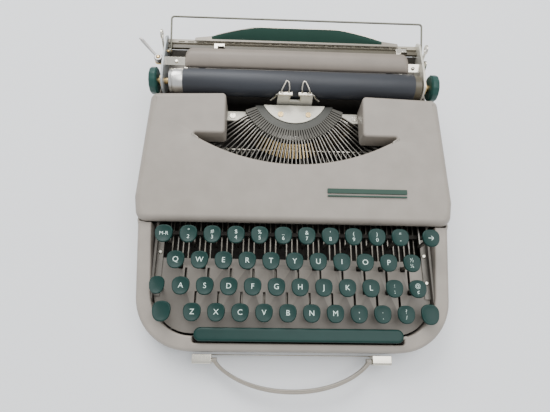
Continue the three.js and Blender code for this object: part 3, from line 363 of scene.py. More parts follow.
# Near-black finish as painted shade: it darkens the casing floor, the guide comb and the rods deep inside
# the casing, where little light reaches.
PAINTED_SHADE = finish("painted_shade_dark", (0.022, 0.018, 0.014), 0.8, drift=0.3, bump=0.3)
KNOB_GREEN = finish("knob_green", (0.013, 0.056, 0.046), 0.42, grain=700, bump=0.03, shine=0.3)
FLOOR_PAINT = finish("studio_floor", (0.86, 0.87, 0.88), 0.8, drift=0.01, patch=2, grain=40, bump=0.02)


# ---- Camera, light and floor ----
EYE = here(-28.98, -6.92, 409.11)
RIGHT = Vector((0.99931, 0.00968, 0.03580))
UP = Vector((-0.02114, 0.94182, 0.33545))
BACK = RIGHT.cross(UP)


def camera():
    made = bpy.data.cameras.new("camera")
    made.lens = 28.82
    made.sensor_width = 36
    shot = placed("camera", made)
    turn = Matrix((RIGHT, UP, BACK)).transposed()
    shot.matrix_world = Matrix.Translation(EYE) @ turn.to_4x4()
    bpy.context.scene.camera = shot


def lamp(name, spot, size, power, aim=(0, 0, 0.03)):
    made = bpy.data.lights.new(name, "AREA")
    made.size = size
    made.energy = power
    light = placed(name, made)
    light.location = spot
    light.rotation_euler = (Vector(aim) - Vector(spot)).to_track_quat("-Z", "Y").to_euler()


def studio():
    world = bpy.data.worlds.new("studio")
    world.use_nodes = True
    sky = world.node_tree.nodes["Background"].inputs
    sky["Color"].default_value = (0.93, 0.96, 1, 1)
    sky["Strength"].default_value = 0.92
    bpy.context.scene.world = world
    lamp("window", (-0.5, 1.3, 1.5), 1.2, 33)
    lamp("ceiling", (0.5, 0.2, 1.8), 1.4, 22)
    mesh = bpy.data.meshes.new("floor")
    half = 4  # metres
    mesh.from_pydata([(*corner, 0) for corner in card(-half, half, -half, half)], [], [range(4)])
    mesh.materials.append(FLOOR_PAINT)
    floor = placed("floor", mesh)


camera()
studio()

# ---- Sizes shared by the pieces ----
SHELL = cad("base_shell")
HALF = SHELL[1] - SIDE_FLARE
DEPTH = SHELL[3]
RIM_BACK = SHELL[5]
RIM_FRONT = RIM_BACK - 11
COVER = cad("top_cover")
HOOD_FRONT = COVER[2] + 0.6
HOOD_BACK = COVER[3]
COVER_BOTTOM = COVER[4]
HOOD_TOP = COVER[5]
HOOD_LIP = HOOD_TOP - 17
SHAFT_Y, SHAFT_Z = pivot("key_q_press").yz
LEVER_LOW, LEVER_HIGH = SHAFT_Z - 2.5, SHAFT_Z + 2.5
PLATEN_Y, PLATEN_Z = pivot("platen_turn").yz
RAIL = cad("carriage_rail")
RAIL_Y, RAIL_TOP = RAIL[3] - 4, RAIL[5]
CENTRE_X = sum(cad("segment")[:2]) / 2
SEGMENT_Y = PLATEN_Y - 4.7
CARRIAGE_Y = PLATEN_Y + 3  # the line that the carriage fittings are placed from
PLATE_LOW, PLATE_HIGH = LEVER_HIGH + 4, LEVER_HIGH + 5.5


# ---- Lower casing ----
def rim_height(y):
    """Top of the casing: rising to the hood, level under it, lower behind it."""
    if y < HOOD_FRONT:
        return RIM_FRONT + (RIM_BACK - RIM_FRONT) * y / HOOD_FRONT
    return RIM_BACK if y < HOOD_BACK + 1 else RIM_BACK - 5


def rolled(outline, radius_of, height_of, way, steps=6):
    """Rings that turn an upright wall over into the level top; way is 1 into the outline, -1 out."""
    ways = inward(outline)
    rings = []
    for k in range(steps + 1):
        angle = math.pi / 2 * k / steps
        ring = []
        for point, side in zip(outline, ways):
            radius = radius_of(point)
            spot = point + side * way * radius * (1 - math.cos(angle))
            ring.append((*spot, height_of(point.y) - radius * (1 - math.sin(angle))))
        rings.append(ring)
    return rings


def casing():
    levels = (HOOD_FRONT - 3, HOOD_FRONT, HOOD_BACK + 0.9, HOOD_BACK + 1.1)
    front, back = 45, 18
    broad = HALF + SIDE_FLARE
    corners = [(-HALF, BODY_FRONT, front), (HALF, BODY_FRONT, front), (broad, HOOD_FRONT),
               (HALF, DEPTH, back), (-HALF, DEPTH, back), (-broad, HOOD_FRONT)]
    outside = crossed(rounded(corners, 14), levels)
    side, wall = HALF - 12, HALF - 2
    notch_left, notch_right, notch_front, rim = -83.5, 91.5, 8.0, 13.5
    well = crossed(rounded([(-side, rim, 36), (notch_left, rim), (notch_left, notch_front, 2),
        (notch_right, notch_front, 2), (notch_right, rim), (side, rim, 36),
        (side + SIDE_FLARE, HOOD_FRONT - 1), (wall + SIDE_FLARE, HOOD_FRONT - 1), (wall, DEPTH - 2, 16),
        (-wall, DEPTH - 2, 16), (-wall - SIDE_FLARE, HOOD_FRONT - 1),
        (-side - SIDE_FLARE, HOOD_FRONT - 1)], 10), levels)
    made = Shape()
    foot = SHELL[4]
    sides = [made.ring([(x, y, foot) for x, y in inset(outside, 1.5)]),
             made.ring([(x, y, foot + 1.5) for x, y in outside])]
    outer = rolled(outside, lambda p: 3.6 if p.y < HOOD_FRONT - 2 else 0.9, rim_height, 1)
    sides += [made.ring(ring) for ring in outer]
    made.skin(sides)
    made.cap(sides[0])
    inner = rolled(well, lambda p: 1.6 if p.y < HOOD_FRONT - 2 else 0.9, rim_height, -1)
    walls = [made.ring([(x, y, foot + 2.1) for x, y in well]), *[made.ring(ring) for ring in inner]]
    made.skin(walls)
    made.fill(walls[0])
    made.fill(sides[-1], walls[-1])
    piece("casing", made, "chassis", "body_paint", ["base_shell"], broad=True)


casing()


def feet():
    for i in range(1, 5):
        x0, x1, y0, y1, z0, z1 = cad(f"foot_{i}")
        radius = (x1 - x0) / 2
        profile = [(z0, radius - 2), (z0 + 0.4, radius - 0.8), (z0 + 1.2, radius),
                   (z1 - 1.5, radius - 0.3), (z1, radius - 0.8)]
        shape = Shape().turned(profile, ((x0 + x1) / 2, (y0 + y1) / 2, 0), "Z", 28)
        piece(f"rubber_foot_{i}", shape, "chassis", "foot_rubber", [f"foot_{i}"])


feet()


# ---- Hood ----
EAR_LEFT, EAR_RIGHT = -63, 61
EAR_FRONT = HOOD_BACK - 37.5
CRESCENT_HALF, CRESCENT_DEPTH, CRESCENT_X = 95, 27, 0.5


def hood_height(y):
    return HOOD_LIP + (HOOD_TOP - HOOD_LIP) * (y - HOOD_FRONT) / (HOOD_BACK - HOOD_FRONT)


def crescent():
    """The curved front edge of the window over the typebars, from its right tip to its left tip."""
    radius = (CRESCENT_HALF**2 + CRESCENT_DEPTH**2) / (2 * CRESCENT_DEPTH)
    centre = EAR_FRONT - CRESCENT_DEPTH + radius
    half = math.asin(CRESCENT_HALF / radius)
    steps = 36
    angles = [half - 2 * half * i / steps for i in range(steps + 1)]
    return [(CRESCENT_X + radius * math.sin(a), centre - radius * math.cos(a)) for a in angles]


def hood():
    wide, front = COVER[1], COVER[2]
    arc = crescent()
    tip = 1.6
    outline = rounded([(-wide + 2.5, front, 9), (wide - 2.5, front, 9), (wide, front + 20, 12),
        (wide - 8, HOOD_BACK, 7), (EAR_RIGHT, HOOD_BACK, 3.5), (EAR_RIGHT, EAR_FRONT, 3), (*arc[0], tip),
        *arc[1:-1], (*arc[-1], tip), (EAR_LEFT, EAR_FRONT, 3), (EAR_LEFT, HOOD_BACK, 3.5),
        (-wide + 8, HOOD_BACK, 7), (-wide, front + 20, 12)], 8)
    outline = crossed(outline, (front + 40, front + 70, front + 95))

    def edge(point):
        if abs(point.x - CRESCENT_X) < CRESCENT_HALF + 4 and point.y > HOOD_FRONT + 10:
            return 2.2
        return 6 if point.y < HOOD_FRONT + 3 else 6.6

    made = Shape()
    wall = made.ring([(x, y, COVER_BOTTOM) for x, y in outline])
    rings = [made.ring(ring) for ring in rolled(outline, edge, hood_height, 1, 8)]
    made.skin([wall, *rings])
    made.fill(rings[-1])
    piece("hood_shell", made, "hood", "body_paint", ["top_cover"], sheet=1.4, broad=True)
    # Two plain bars stand at the hood's right.
    left, right = 28, 98
    badge = Shape()
    for y, tall in ((134.6, 2.1), (130.2, 0.7)):
        low = [(x, p, hood_height(p) + 0.05) for x, p in card(left, right, y - tall, y + tall, 0.6)]
        badge.loft([low, [(x, p, z + 0.9) for x, p, z in low]])
    piece("hood_bar", badge, "hood", "support_paint", bevel=0.25)


hood()


# ---- Keyboard ----
KEY_WIDTH, KEY_LENGTH = 15.8, 14.9
# Each mark key: the letter at its left, how many pitches further it stands, lower and upper legend.
MARKS = [("key_m", 1, ",", ","), ("key_m", 2, ".", "."), ("key_m", 3, "/", "?"), ("key_l", 1, ";", ":"),
         ("key_l", 2, "¢", "@"), ("key_p", 1, "¼", "½")]
# (share of the outline, height from the top) of a keytop, from its neck to the bottom of its dish.
KEY_PROFILE = [(0.24, -6.6), (0.3, -5.2), (0.55, -4.5), (0.85, -3.9), (0.94, -2.9), (1.0, -1.4),
    (0.99, -0.7), (0.96, -0.2), (0.91, 0.0), (0.85, -0.08), (0.76, -0.24), (0.6, -0.46), (0.4, -0.64),
    (0.2, -0.74), (0.05, -0.77)]


def tulip(x, y, width, length, share):
    """Keytop outline: broad at the back, narrower and rounder in front."""
    points = []
    sides = 40
    for i in range(sides):
        angle = 2 * math.pi * i / sides
        c, s = math.cos(angle), math.sin(angle)
        across = math.copysign(abs(c) ** 0.84, c)
        along = math.copysign(abs(s) ** 0.84, s)
        points.append((x + share * width / 2 * across * (0.91 + 0.09 * along),
                       y + share * length / 2 * along))
    return points


def dish(share):
    """Height of a keytop's upper face under its rim, by the share of the outline."""
    inner = [spot for spot in reversed(KEY_PROFILE) if spot[1] > -1.4 and spot[0] <= 0.91]
    for (near, low), (far, high) in zip(inner, inner[1:]):
        if share <= far:
            return low + (high - low) * max(0, share - near) / (far - near)
    return 0


def keytop(name, key, body, replaces=()):
    x, y, top, width, length = key
    rings = [[(p, q, top + drop) for p, q in tulip(x, y, width, length, share)]
             for share, drop in KEY_PROFILE]
    piece(name, Shape().loft(rings), body, "key_green", replaces)


def legend(name, words, key, body, size=6.2, shift=(0, 0)):
    """Printed letters that lie on the keytop's dish."""
    x, y, top, width, length = key
    curve = bpy.data.curves.new(name, "FONT")
    curve.body = words
    curve.size = size
    curve.offset = -0.03
    curve.align_x = curve.align_y = "CENTER"
    text = placed(name, curve)
    mesh = bpy.data.meshes.new_from_object(text)
    bpy.data.objects.remove(text)
    made = Shape()
    made.mesh.from_mesh(mesh)
    bmesh.ops.subdivide_edges(made.mesh, edges=made.mesh.edges, cuts=1)
    for vertex in made.mesh.verts:
        dx = vertex.co.x + shift[0]
        dy = vertex.co.y + shift[1]
        share = math.hypot(dx / (width / 2), dy / (length / 2))
        vertex.co = (x + dx, y + dy, top + dish(share) + 0.06)
    piece(name, made, body, "legend_paint")


def key_stem(made, key, low=SHAFT_Z - 1.5):
    x, y, top = key[:3]
    made.block(x - 1.3, x + 1.3, y - 1, y + 1, low, top - 5.2)


def key_lever(made, x, y, pivot_y=SHAFT_Y, pivot_z=SHAFT_Z, high=5):
    """A flat lever to its round eye on the shaft."""
    low, top = pivot_z - high / 2, pivot_z + high / 2
    made.sideways([(y - 1, low), (pivot_y - 3, low), (pivot_y - 3, top), (y - 1, top)], x - 0.5, x + 0.5)
    made.hoop(x - 0.8, x + 0.8, pivot_y, pivot_z, 3.9, 2.1, 20)


def node_key(node, length=KEY_LENGTH, width=KEY_WIDTH):
    """Keytop place of a single key's node: x, y, top, width, length."""
    x0, x1, y0, y1, z0, z1 = cad(node)
    return ((x0 + x1) / 2, y0 + length / 2 - 0.2, z1, width, length)


KEY_PITCH = node_key("key_w")[0] - node_key("key_q")[0]


def add_key(name, key, body, words="", upper="", replaces=()):
    keytop(f"keytop_{name}", key, body, replaces)
    steel = Shape()
    key_stem(steel, key)
    key_lever(steel, key[0], key[1])
    piece(f"lever_{name}", steel, body, "typebar_steel", finish=SHADED_LEVER_STEEL)
    if upper:
        legend(f"legend_upper_{name}", upper, key, body, 4.6, (0, 2.4))
        legend(f"legend_lower_{name}", words, key, body, 4.6, (0, -2.5))
    elif words:
        legend(f"legend_{name}", words, key, body)


def letter_keys():
    for letter in "qwertyuiopasdfghjklzxcvbnm":
        node = f"key_{letter}"
        add_key(letter, node_key(node), node, letter.upper(), replaces=[node])


def row_key(neighbour, pitches):
    x, *rest = node_key(neighbour)
    return (x + KEY_PITCH * pitches, *rest)


def gang_keys():
    """The keys that share a joint: the number row and the marks at the right of the letter rows."""
    x0, x1, y0, y1, z0, z1 = cad("number_keys")
    first = (x0 + x1) / 2 - KEY_PITCH * 4.5
    uppers = ['"', "#", "$", "%", "_", "&", "'", "(", ")", "*"]
    for i, (words, upper) in enumerate(zip("234567890-", uppers)):
        key = (first + KEY_PITCH * i, y0 + KEY_LENGTH / 2 - 0.2, z1, KEY_WIDTH, KEY_LENGTH)
        owned = ["number_keys"] if i == 0 else []
        add_key(f"number_{i}", key, "number_keys", words, upper, owned)
    for i, (neighbour, pitches, words, upper) in enumerate(MARKS):
        owned = ["mark_keys"] if i == 0 else []
        add_key(f"mark_{i}", row_key(neighbour, pitches), "mark_keys", words, upper, owned)
    # The gang rods take the near-black painted-shade finish.
    for name, body, y, z in (("number", "number_keys", SHAFT_Y - 10, LEVER_LOW - 3),
            ("mark", "mark_keys", SHAFT_Y - 10, LEVER_HIGH + 3.6)):
        x0, x1 = cad(body)[:2]
        rod = Shape().tube([(x0 + 6, y, z), (x1 - 6, y, z)], 1.2)
        piece(f"{name}_gang_rod", rod, body, "frame_steel", finish=PAINTED_SHADE)


def side_keys():
    x0, x1, y0, y1, z0, z1 = cad("shift_keys")
    wide, long = 16.3, 16.6
    for name, x in (("left", x0 + wide / 2 - 0.5), ("right", x1 - wide / 2 + 0.5)):
        key = (x, y0 + long / 2 - 0.2, z1, wide, long)
        add_key(f"shift_{name}", key, "shift", replaces=["shift_keys"] if name == "left" else [])
    y, z = SHAFT_Y - 30, LEVER_HIGH + 5
    # The cross rod takes the near-black painted-shade finish.
    rod = Shape().tube([(x0 + 7, y, z), (x1 - 7, y, z)], 1.4)
    piece("shift_cross_rod", rod, "shift", "frame_steel", finish=PAINTED_SHADE)
    x0, x1, y0, y1, z0, z1 = cad("shift_lock")
    key = ((x0 + x1) / 2, (y0 + y1) / 2, z1, 13.6, 14.5)
    keytop("keytop_lock", key, "shift_lock", ["shift_lock"])
    stem = Shape()
    key_stem(stem, key, z0)
    piece("stem_lock", stem, "shift_lock", "typebar_steel")
    for node, body, joint, words, size in (
        ("margin_release_key", "margin_release", "margin_release_press", "M-R", 4.4),
        ("backspace_key", "backspace", "backspace_press", "→", 6.5),
    ):
        key = node_key(node)
        keytop(f"keytop_{body}", key, body, [node])
        legend(f"legend_{body}", words, key, body, size)
        steel = Shape()
        place = pivot(joint)
        key_stem(steel, key, place.z - 1.6)
        key_lever(steel, key[0], key[1], place.y, place.z, 3.2)
        piece(f"lever_{body}", steel, body, "typebar_steel")


def space_bar():
    x0, x1, y0, y1, z0, z1 = cad("space_bar")
    left, right, back = -82, 90, y0 + 11
    round_end = (back - y0) / 2 - 0.3
    outline = card(left, right, y0, back, round_end, steps=7)
    rings = []
    for drop, grow in ((-4.5, 0.9), (-4.0, 0.2), (-1.6, 0.0), (-0.7, 0.25), (-0.2, 0.8), (0, 1.7),
                       (-0.05, 3.2)):
        rings.append([(x, y, z1 + drop) for x, y in inset(outline, grow)])
    piece("space_bar_cap", Shape().loft(rings), "space_bar", "key_green", ["space_bar"])
    steel = Shape()
    middle = (y0 + back) / 2
    for x in (x0 + 0.8, x1 - 0.8):
        key_lever(steel, x, middle - 1, high=4)
    steel.tube([(x0, middle - 0.6, SHAFT_Z), (x1, middle - 0.6, SHAFT_Z)], 1.4)
    for x in (left + 22, right - 22):
        steel.block(x - 1.3, x + 1.3, middle - 1.6, middle + 0.4, SHAFT_Z, z1 - 4.2)
    piece("space_bar_arms", steel, "space_bar", "typebar_steel")


letter_keys()
gang_keys()
side_keys()
space_bar()


# ---- Chassis ----
def chassis():
    x0, x1, y0, y1, z0, z1 = cad("main_frame")
    inner = x1 - 2
    rows = [node_key(f"key_{c}") for c in "zxcvbnmasdfghjklqwertyuiop"]
    rows += [row_key(neighbour, pitches) for neighbour, pitches, *legends in MARKS]
    # A hole for each stem, and a slot behind it for the lever's guide tongue.
    holes = [card(x - 2.2, x + 2.2, y - 2.4, y + 2, 0.6, steps=2) for x, y, *rest in rows]
    holes += [card(x - 1, x + 1, y + 2.7, y + 19) for x, y, *rest in rows]
    back = node_key("key_q")[1] + 7
    holes = [hole for hole in holes if max(p.y for p in hole) < back - 1]
    edge = inner - 0.2
    outline = card(-edge, edge, y0 + 0.2, back, 33, 0, 10)
    piece("keyboard_plate", Shape().panel(outline, holes, PLATE_LOW, PLATE_HIGH), "chassis",
          "frame_steel", ["main_frame"], PLATE_GREY, bevel=0.15)
    # The guide comb takes the near-black finish as painted shade along the plate's back edge.
    comb = Shape().block(-inner, inner, HOOD_FRONT - 7.6, HOOD_FRONT - 4.2, PLATE_LOW, PLATE_HIGH)
    piece("guide_comb", comb, "chassis", "frame_steel", finish=PAINTED_SHADE, bevel=0.15)
    # A near-black sheet over the casing floor: painted shade for the dim inside of the casing.
    floor = card(-HALF + 3.5, HALF - 3.5, 6, DEPTH - 4, 40, 14, 8)
    piece("floor_painted_shade", Shape().prism(floor, 8.15, 8.6), "chassis", "frame_steel", finish=PAINTED_SHADE)
    sides = Shape()
    wall_top, shelf_top, shelf_front, shelf_back = z0 + 25.7, z0 + 29.4, 136, 164  # shelf of a spool
    outline = rounded([(38, z0, 3), (y1, z0, 3), (y1, wall_top, 3), (shelf_back, wall_top, 2),
        (shelf_back, shelf_top, 2), (shelf_front, shelf_top, 2), (shelf_front, wall_top, 2),
        (38, wall_top, 3)], 3)
    for side in (-1, 1):
        sides.sideways(outline, *span(side, inner, x1))
        sides.block(*span(side, 87, inner + 0.5), shelf_front, shelf_back, z0 + 26.2, shelf_top)
        # Folded flange that carries the plate's edge screws.
        sides.block(*span(side, inner - 5, inner), 46, back + 20, PLATE_HIGH + 0.3, PLATE_HIGH + 1.2)
    piece("side_frames", sides, "chassis", "frame_steel", bevel=0.3)
    rods = Shape()
    rods.tube([(-inner, SHAFT_Y, SHAFT_Z), (inner, SHAFT_Y, SHAFT_Z)], 1.5, 14)
    for side in (-1, 1):
        place = pivot("margin_release_press")
        rods.tube([(side * inner, place.y, place.z), (side * 103.8, place.y, place.z)], 1.5, 14)
        rods.turned([(26, 2), (z1 - 0.5, 2), (z1, 1.5)], (side * 105, RAIL_Y, 0), "Z", 16)
        rods.turned([(34, 2), (48.6, 2), (49, 1.5)], (side * 97, pivot("spool_left_spin").y, 0), "Z", 16)
    piece("shafts_and_posts", rods, "chassis", "nickel")
    beams = Shape()
    beams.block(-inner, inner, HOOD_BACK - 12, HOOD_BACK - 6, z0, 32)
    beams.block(CENTRE_X - 56, CENTRE_X + 56, HOOD_BACK - 12, HOOD_BACK - 6, 32, 39.6)
    beams.block(-inner, inner, RAIL_Y - 6, RAIL_Y + 6, 26, 29)
    piece("cross_beams", beams, "chassis", "frame_steel", bevel=0.3)
    screws = Shape()
    for x, y in ((-inner + 2.6, 60), (-inner + 2.6, 84), (inner - 2.6, 60), (inner - 2.6, 84)):
        top = PLATE_HIGH + 1.2
        screws.turned([(top, 1.9), (top + 0.8, 1.8), (top + 1.3, 1.2)], (x, y, 0), "Z", 18)
    piece("frame_screws", screws, "chassis", "nickel")


chassis()


# ---- Segment, typebars and ribbon ----
BARS = 42
FAN = math.radians(63)
RING_IN, RING_OUT, FACE = 37, 50, 31.6
BASKET_BACK = HOOD_BACK - 0.5


def polar(radius, angle, offset=0.0):
    """A point of the fan about the segment's centre; angle 0 points at the typist."""
    return Vector((CENTRE_X + radius * math.sin(angle) + offset * math.cos(angle),
                   SEGMENT_Y - radius * math.cos(angle) + offset * math.sin(angle)))


def bar_angle(i):
    return -FAN + 2 * FAN * i / (BARS - 1)


def fan_slice(inner, outer, start, end, steps=1):
    angles = [start + (end - start) * k / steps for k in range(steps + 1)]
    return [polar(inner, a) for a in angles] + [polar(outer, a) for a in reversed(angles)]


def fan_plate(made, side_view, angle, half):
    """An outline of (radius, height), standing along the fan's ray at an angle."""
    made.loft([[(*polar(r, angle, side), z) for r, z in side_view] for side in (-half, half)])


def slotted_screw(made, x, y, top, radius):
    """A screw head made of two halves with the slot between them."""
    for side in (-1, 1):
        turns = [math.pi * k / 10 for k in range(11)]
        half = [(x + side * (0.35 + (radius - 0.35) * math.sin(a)), y - radius * math.cos(a))
                for a in turns]
        made.prism(half, top - 0.2, top + 0.9)
    made.turned([(top - 0.6, radius), (top + 0.2, radius)], (x, y, 0), "Z", 22)


def type_basket():
    z0, z1 = cad("segment")[4:]
    edge = FAN + math.radians(5)
    ring = Shape().prism(fan_slice(RING_IN, RING_OUT, -edge, edge, 40), z0, z1 - 5)
    # The walls between the typebar slots.
    marks = [-edge, *[bar_angle(i) for i in range(BARS)], edge]
    for start, end in zip(marks, marks[1:]):
        gap = 0.0075
        outer = [polar(RING_OUT - 0.3, start + gap), polar(RING_OUT - 0.3, end - gap)]
        inner = [polar(RING_IN + 2, end - gap * 1.3), polar(RING_IN + 2, start + gap * 1.3)]
        ring.prism([*inner[::-1], *outer[::-1]], z1 - 5.2, z1 - 0.2)
    piece("segment_ring", ring, "chassis", "end_plate_paint", ["segment"], SLOT_GREY, bevel=0.12)
    for name, radius, low, high, look in (("band", RING_IN + 1.9, z0, z1 - 1.2, BAND_GREY),
            ("face", FACE, z1 - 1.3, z1, CREAM)):
        turn = math.acos((SEGMENT_Y - BASKET_BACK) / radius)
        steps = 30
        disc = [polar(radius, -turn + 2 * turn * k / steps) for k in range(steps + 1)]
        piece(f"segment_{name}", Shape().prism(disc, low, high), "chassis", "nickel", finish=look,
            bevel=0.3)
    screws, ears, ear_screws = Shape(), Shape(), Shape()
    for side in (-1, 1):
        slotted_screw(screws, CENTRE_X + side * 13, HOOD_BACK - 10.5, z1, 2.6)
        x = CENTRE_X + side * 54
        ears.prism(card(x - 13, x + 13, HOOD_BACK - 14, HOOD_BACK - 4, 2, steps=3), z0, z0 + 2.6)
        slotted_screw(ear_screws, x + side * 4, HOOD_BACK - 9, z0 + 2.6, 2.8)
    piece("segment_face_screws", screws, "chassis", "nickel", finish=BRASS, bevel=0.1)
    piece("segment_ears", ears, "chassis", "nickel", finish=CREAM, bevel=0.3)
    piece("segment_ear_screws", ear_screws, "chassis", "nickel", bevel=0.1)


def typebar_fan():
    x0, x1, y0, y1, z0, z1 = cad("typebars")
    reach = SEGMENT_Y - y0
    bars, heads, links = Shape(), Shape(), Shape()
    for i in range(BARS):
        angle = bar_angle(i)
        low = z0 + (0.9 if i % 2 else 0)
        end = low - 9
        side_view = [(RING_OUT - 6, low + 2.4), (RING_OUT + 2, low + 3), (reach - 12, end + 1.8),
                     (reach - 12, end), (RING_OUT + 2, low), (RING_OUT - 6, low)]
        fan_plate(bars, side_view, angle, 0.4)
        head = [(reach - 13, end - 0.4), (reach - 1, end - 0.4), (reach - 1, end + 2.6),
                (reach - 6, end + 3.4), (reach - 13, end + 2.2)]
        fan_plate(heads, head, angle, 1.1)
        link = [(RING_OUT + 1, z0 - 0.6), (RING_OUT + 13, z0 - 5.6), (RING_OUT + 13, z0 - 6.4),
                (RING_OUT + 1, z0 - 1.6)]
        fan_plate(links, link, angle + FAN / BARS, 0.35)
    piece("typebar_arms", bars, "chassis", "typebar_steel", ["typebars"], bevel=0.08)
    piece("type_heads", heads, "chassis", "typebar_steel", bevel=0.15)
    piece("typebar_links", links, "chassis", "typebar_steel", finish=BRASS)
    wire = [(*polar(RING_OUT - 0.6, -FAN + 2 * FAN * k / 40), z1 + 0.1) for k in range(41)]
    piece("fulcrum_wire", Shape().tube(wire, 0.45, 8), "chassis", "nickel")


def ribbon_spools():
    for name in ("left", "right"):
        x0, x1, y0, y1, z0, z1 = cad(f"spool_{name}")
        centre = ((x0 + x1) / 2, (y0 + y1) / 2)
        radius = (x1 - x0) / 2
        hub, lip = 2.5, 0.9
        spots = [(z0, hub), (z0, radius - 0.3), (z0 + 0.4, radius), (z0 + lip, radius - 0.2),
                 (z0 + lip, radius - 6), (z1 - lip, radius - 6), (z1 - lip, radius - 0.2),
                 (z1 - 0.4, radius), (z1, radius - 0.3), (z1, hub)]
        piece(f"spool_metal_{name}", Shape().band(spots, *centre, 40), f"spool_{name}", "dark_chrome",
            [f"spool_{name}"])
        wound = [(z0 + lip + 0.2, radius - 5.8), (z0 + lip + 0.2, radius - 2.4),
                 (z1 - lip - 0.2, radius - 2.4), (z1 - lip - 0.2, radius - 5.8)]
        piece(f"spool_ribbon_{name}", Shape().band(wound, *centre, 40), f"spool_{name}", "ribbon_cloth")


type_basket()
typebar_fan()
ribbon_spools()


# ---- Carriage ----
LEFT_PLATE = -HALF + 6.4
RIGHT_PLATE = HALF - 9
BAIL_Y, BAIL_Z = pivot("paper_bail_swing").yz
RELEASE_Y, RELEASE_Z = pivot("carriage_release_press").yz
LEVER_Y, LEVER_Z = pivot("paper_release_pull").yz
SHELF = PLATEN_Z + 2  # top of the bracket that carries the return lever


def end_plate_outline(shrink=0.0):
    y, z = CARRIAGE_Y, PLATEN_Z
    points = [(y - 5, RAIL_TOP - 1, 1), (y + 28, RAIL_TOP - 2, 2), (y + 42, RAIL_TOP + 3, 3),
        (y + 46, z - 2, 2), (y + 46, z + 4, 2), (y + 40, z + 9, 4), (y + 8, z + 12, 6), (y - 9, z + 10, 6),
        (y - 13, z + 2, 4), (y - 13, z - 6, 4)]
    return inset(rounded(points, 5), shrink)


def carriage_frame():
    for name, x0, x1, look in (("left", LEFT_PLATE, LEFT_PLATE + 2, None),
            ("right", RIGHT_PLATE - 2, RIGHT_PLATE, CREAM)):
        made = Shape().sideways(end_plate_outline(), x0, x1)
        owned = ["carriage_frame"] if name == "left" else []
        piece(f"end_plate_{name}", made, "carriage", "end_plate_paint", owned, look, bevel=0.35)
    lip = 4.5
    x0, x1 = LEFT_PLATE + 1.5, RIGHT_PLATE - 1.5
    channel = Shape()
    profile = [(RAIL_Y - lip - 2, RAIL_TOP - 3), (RAIL_Y - lip, RAIL_TOP - 3),
        (RAIL_Y - lip, RAIL_TOP + 0.5), (RAIL_Y + lip, RAIL_TOP + 0.5), (RAIL_Y + lip, RAIL_TOP - 3),
        (RAIL_Y + lip + 2, RAIL_TOP - 3), (RAIL_Y + lip + 2, RAIL_TOP + 2.5),
        (RAIL_Y - lip - 2, RAIL_TOP + 2.5)]
    channel.sideways(profile, x0, x1)
    piece("carriage_channel", channel, "carriage", "frame_steel", bevel=0.3)
    web = [(RAIL_Y + 6.5, RAIL_TOP), (CARRIAGE_Y + 33.4, PLATEN_Z - 2), (CARRIAGE_Y + 33.4, PLATEN_Z - 1),
           (RAIL_Y + 6.5, RAIL_TOP + 1)]
    piece("carriage_web", Shape().sideways(web, x0, x1), "carriage", "frame_steel", bevel=0.1)
    stop_low, stop_high = PLATEN_Z - 1, PLATEN_Z + 2
    front, back = CARRIAGE_Y + 33.5, CARRIAGE_Y + 37.5
    bar = Shape().block(x0, x1, front, back, stop_low, stop_high)
    piece("margin_rail", bar, "carriage", "rail_paint", finish=OLIVE, bevel=0.3)
    # The rear rail is a strip with a rack of small slots.
    front, back = CARRIAGE_Y + 39.5, CARRIAGE_Y + 43.5
    pitch, first = 9.0, x0 + 10
    slots = [card(first + pitch * k, first + pitch * k + 6, front + 0.8, front + 1.7)
             for k in range(int((x1 - x0 - 16) / pitch))]
    rail = Shape().panel(card(x0, x1, front, back), slots, stop_low, stop_high)
    piece("rear_rail", rail, "carriage", "rail_paint", bevel=0.15)
    studs = Shape()
    for x0, x1, y, z, r in ((LEFT_PLATE + 1, LEFT_PLATE + 6.2, BAIL_Y, BAIL_Z, 1.2),
            (RIGHT_PLATE - 1, RIGHT_PLATE + 3, BAIL_Y, BAIL_Z, 1.2),
            (RIGHT_PLATE - 1, RIGHT_PLATE + 4.6, LEVER_Y, LEVER_Z, 1.2)):
        studs.turned([(x0, r), (x1 - 0.6, r), (x1, r - 0.3)], (0, y, z), "X", 16)
    # Bearing collars of the platen shaft.
    for x0, x1 in ((LEFT_PLATE - 1.4, LEFT_PLATE + 0.2), (RIGHT_PLATE - 0.2, RIGHT_PLATE + 2.2)):
        studs.hoop(x0, x1, PLATEN_Y, PLATEN_Z, 6.2, 3.4, 28)
    piece("carriage_studs", studs, "carriage", "nickel", finish=BRASS)
    shelf_x, shelf_y = pivot("return_lever_swing").xy
    bracket = Shape()
    bracket.prism(rounded([(shelf_x - 4, shelf_y - 4, 3), (LEFT_PLATE + 1, shelf_y - 4),
        (LEFT_PLATE + 1, shelf_y + 4), (shelf_x - 4, shelf_y + 4, 3)], 5), SHELF - 2, SHELF)
    bracket.turned([(SHELF - 1, 1.5), (SHELF + 4.6, 1.5), (SHELF + 5, 1.1)], (shelf_x, shelf_y, 0), "Z", 16)
    piece("return_bracket", bracket, "carriage", "nickel", finish=BRASS, bevel=0.2)


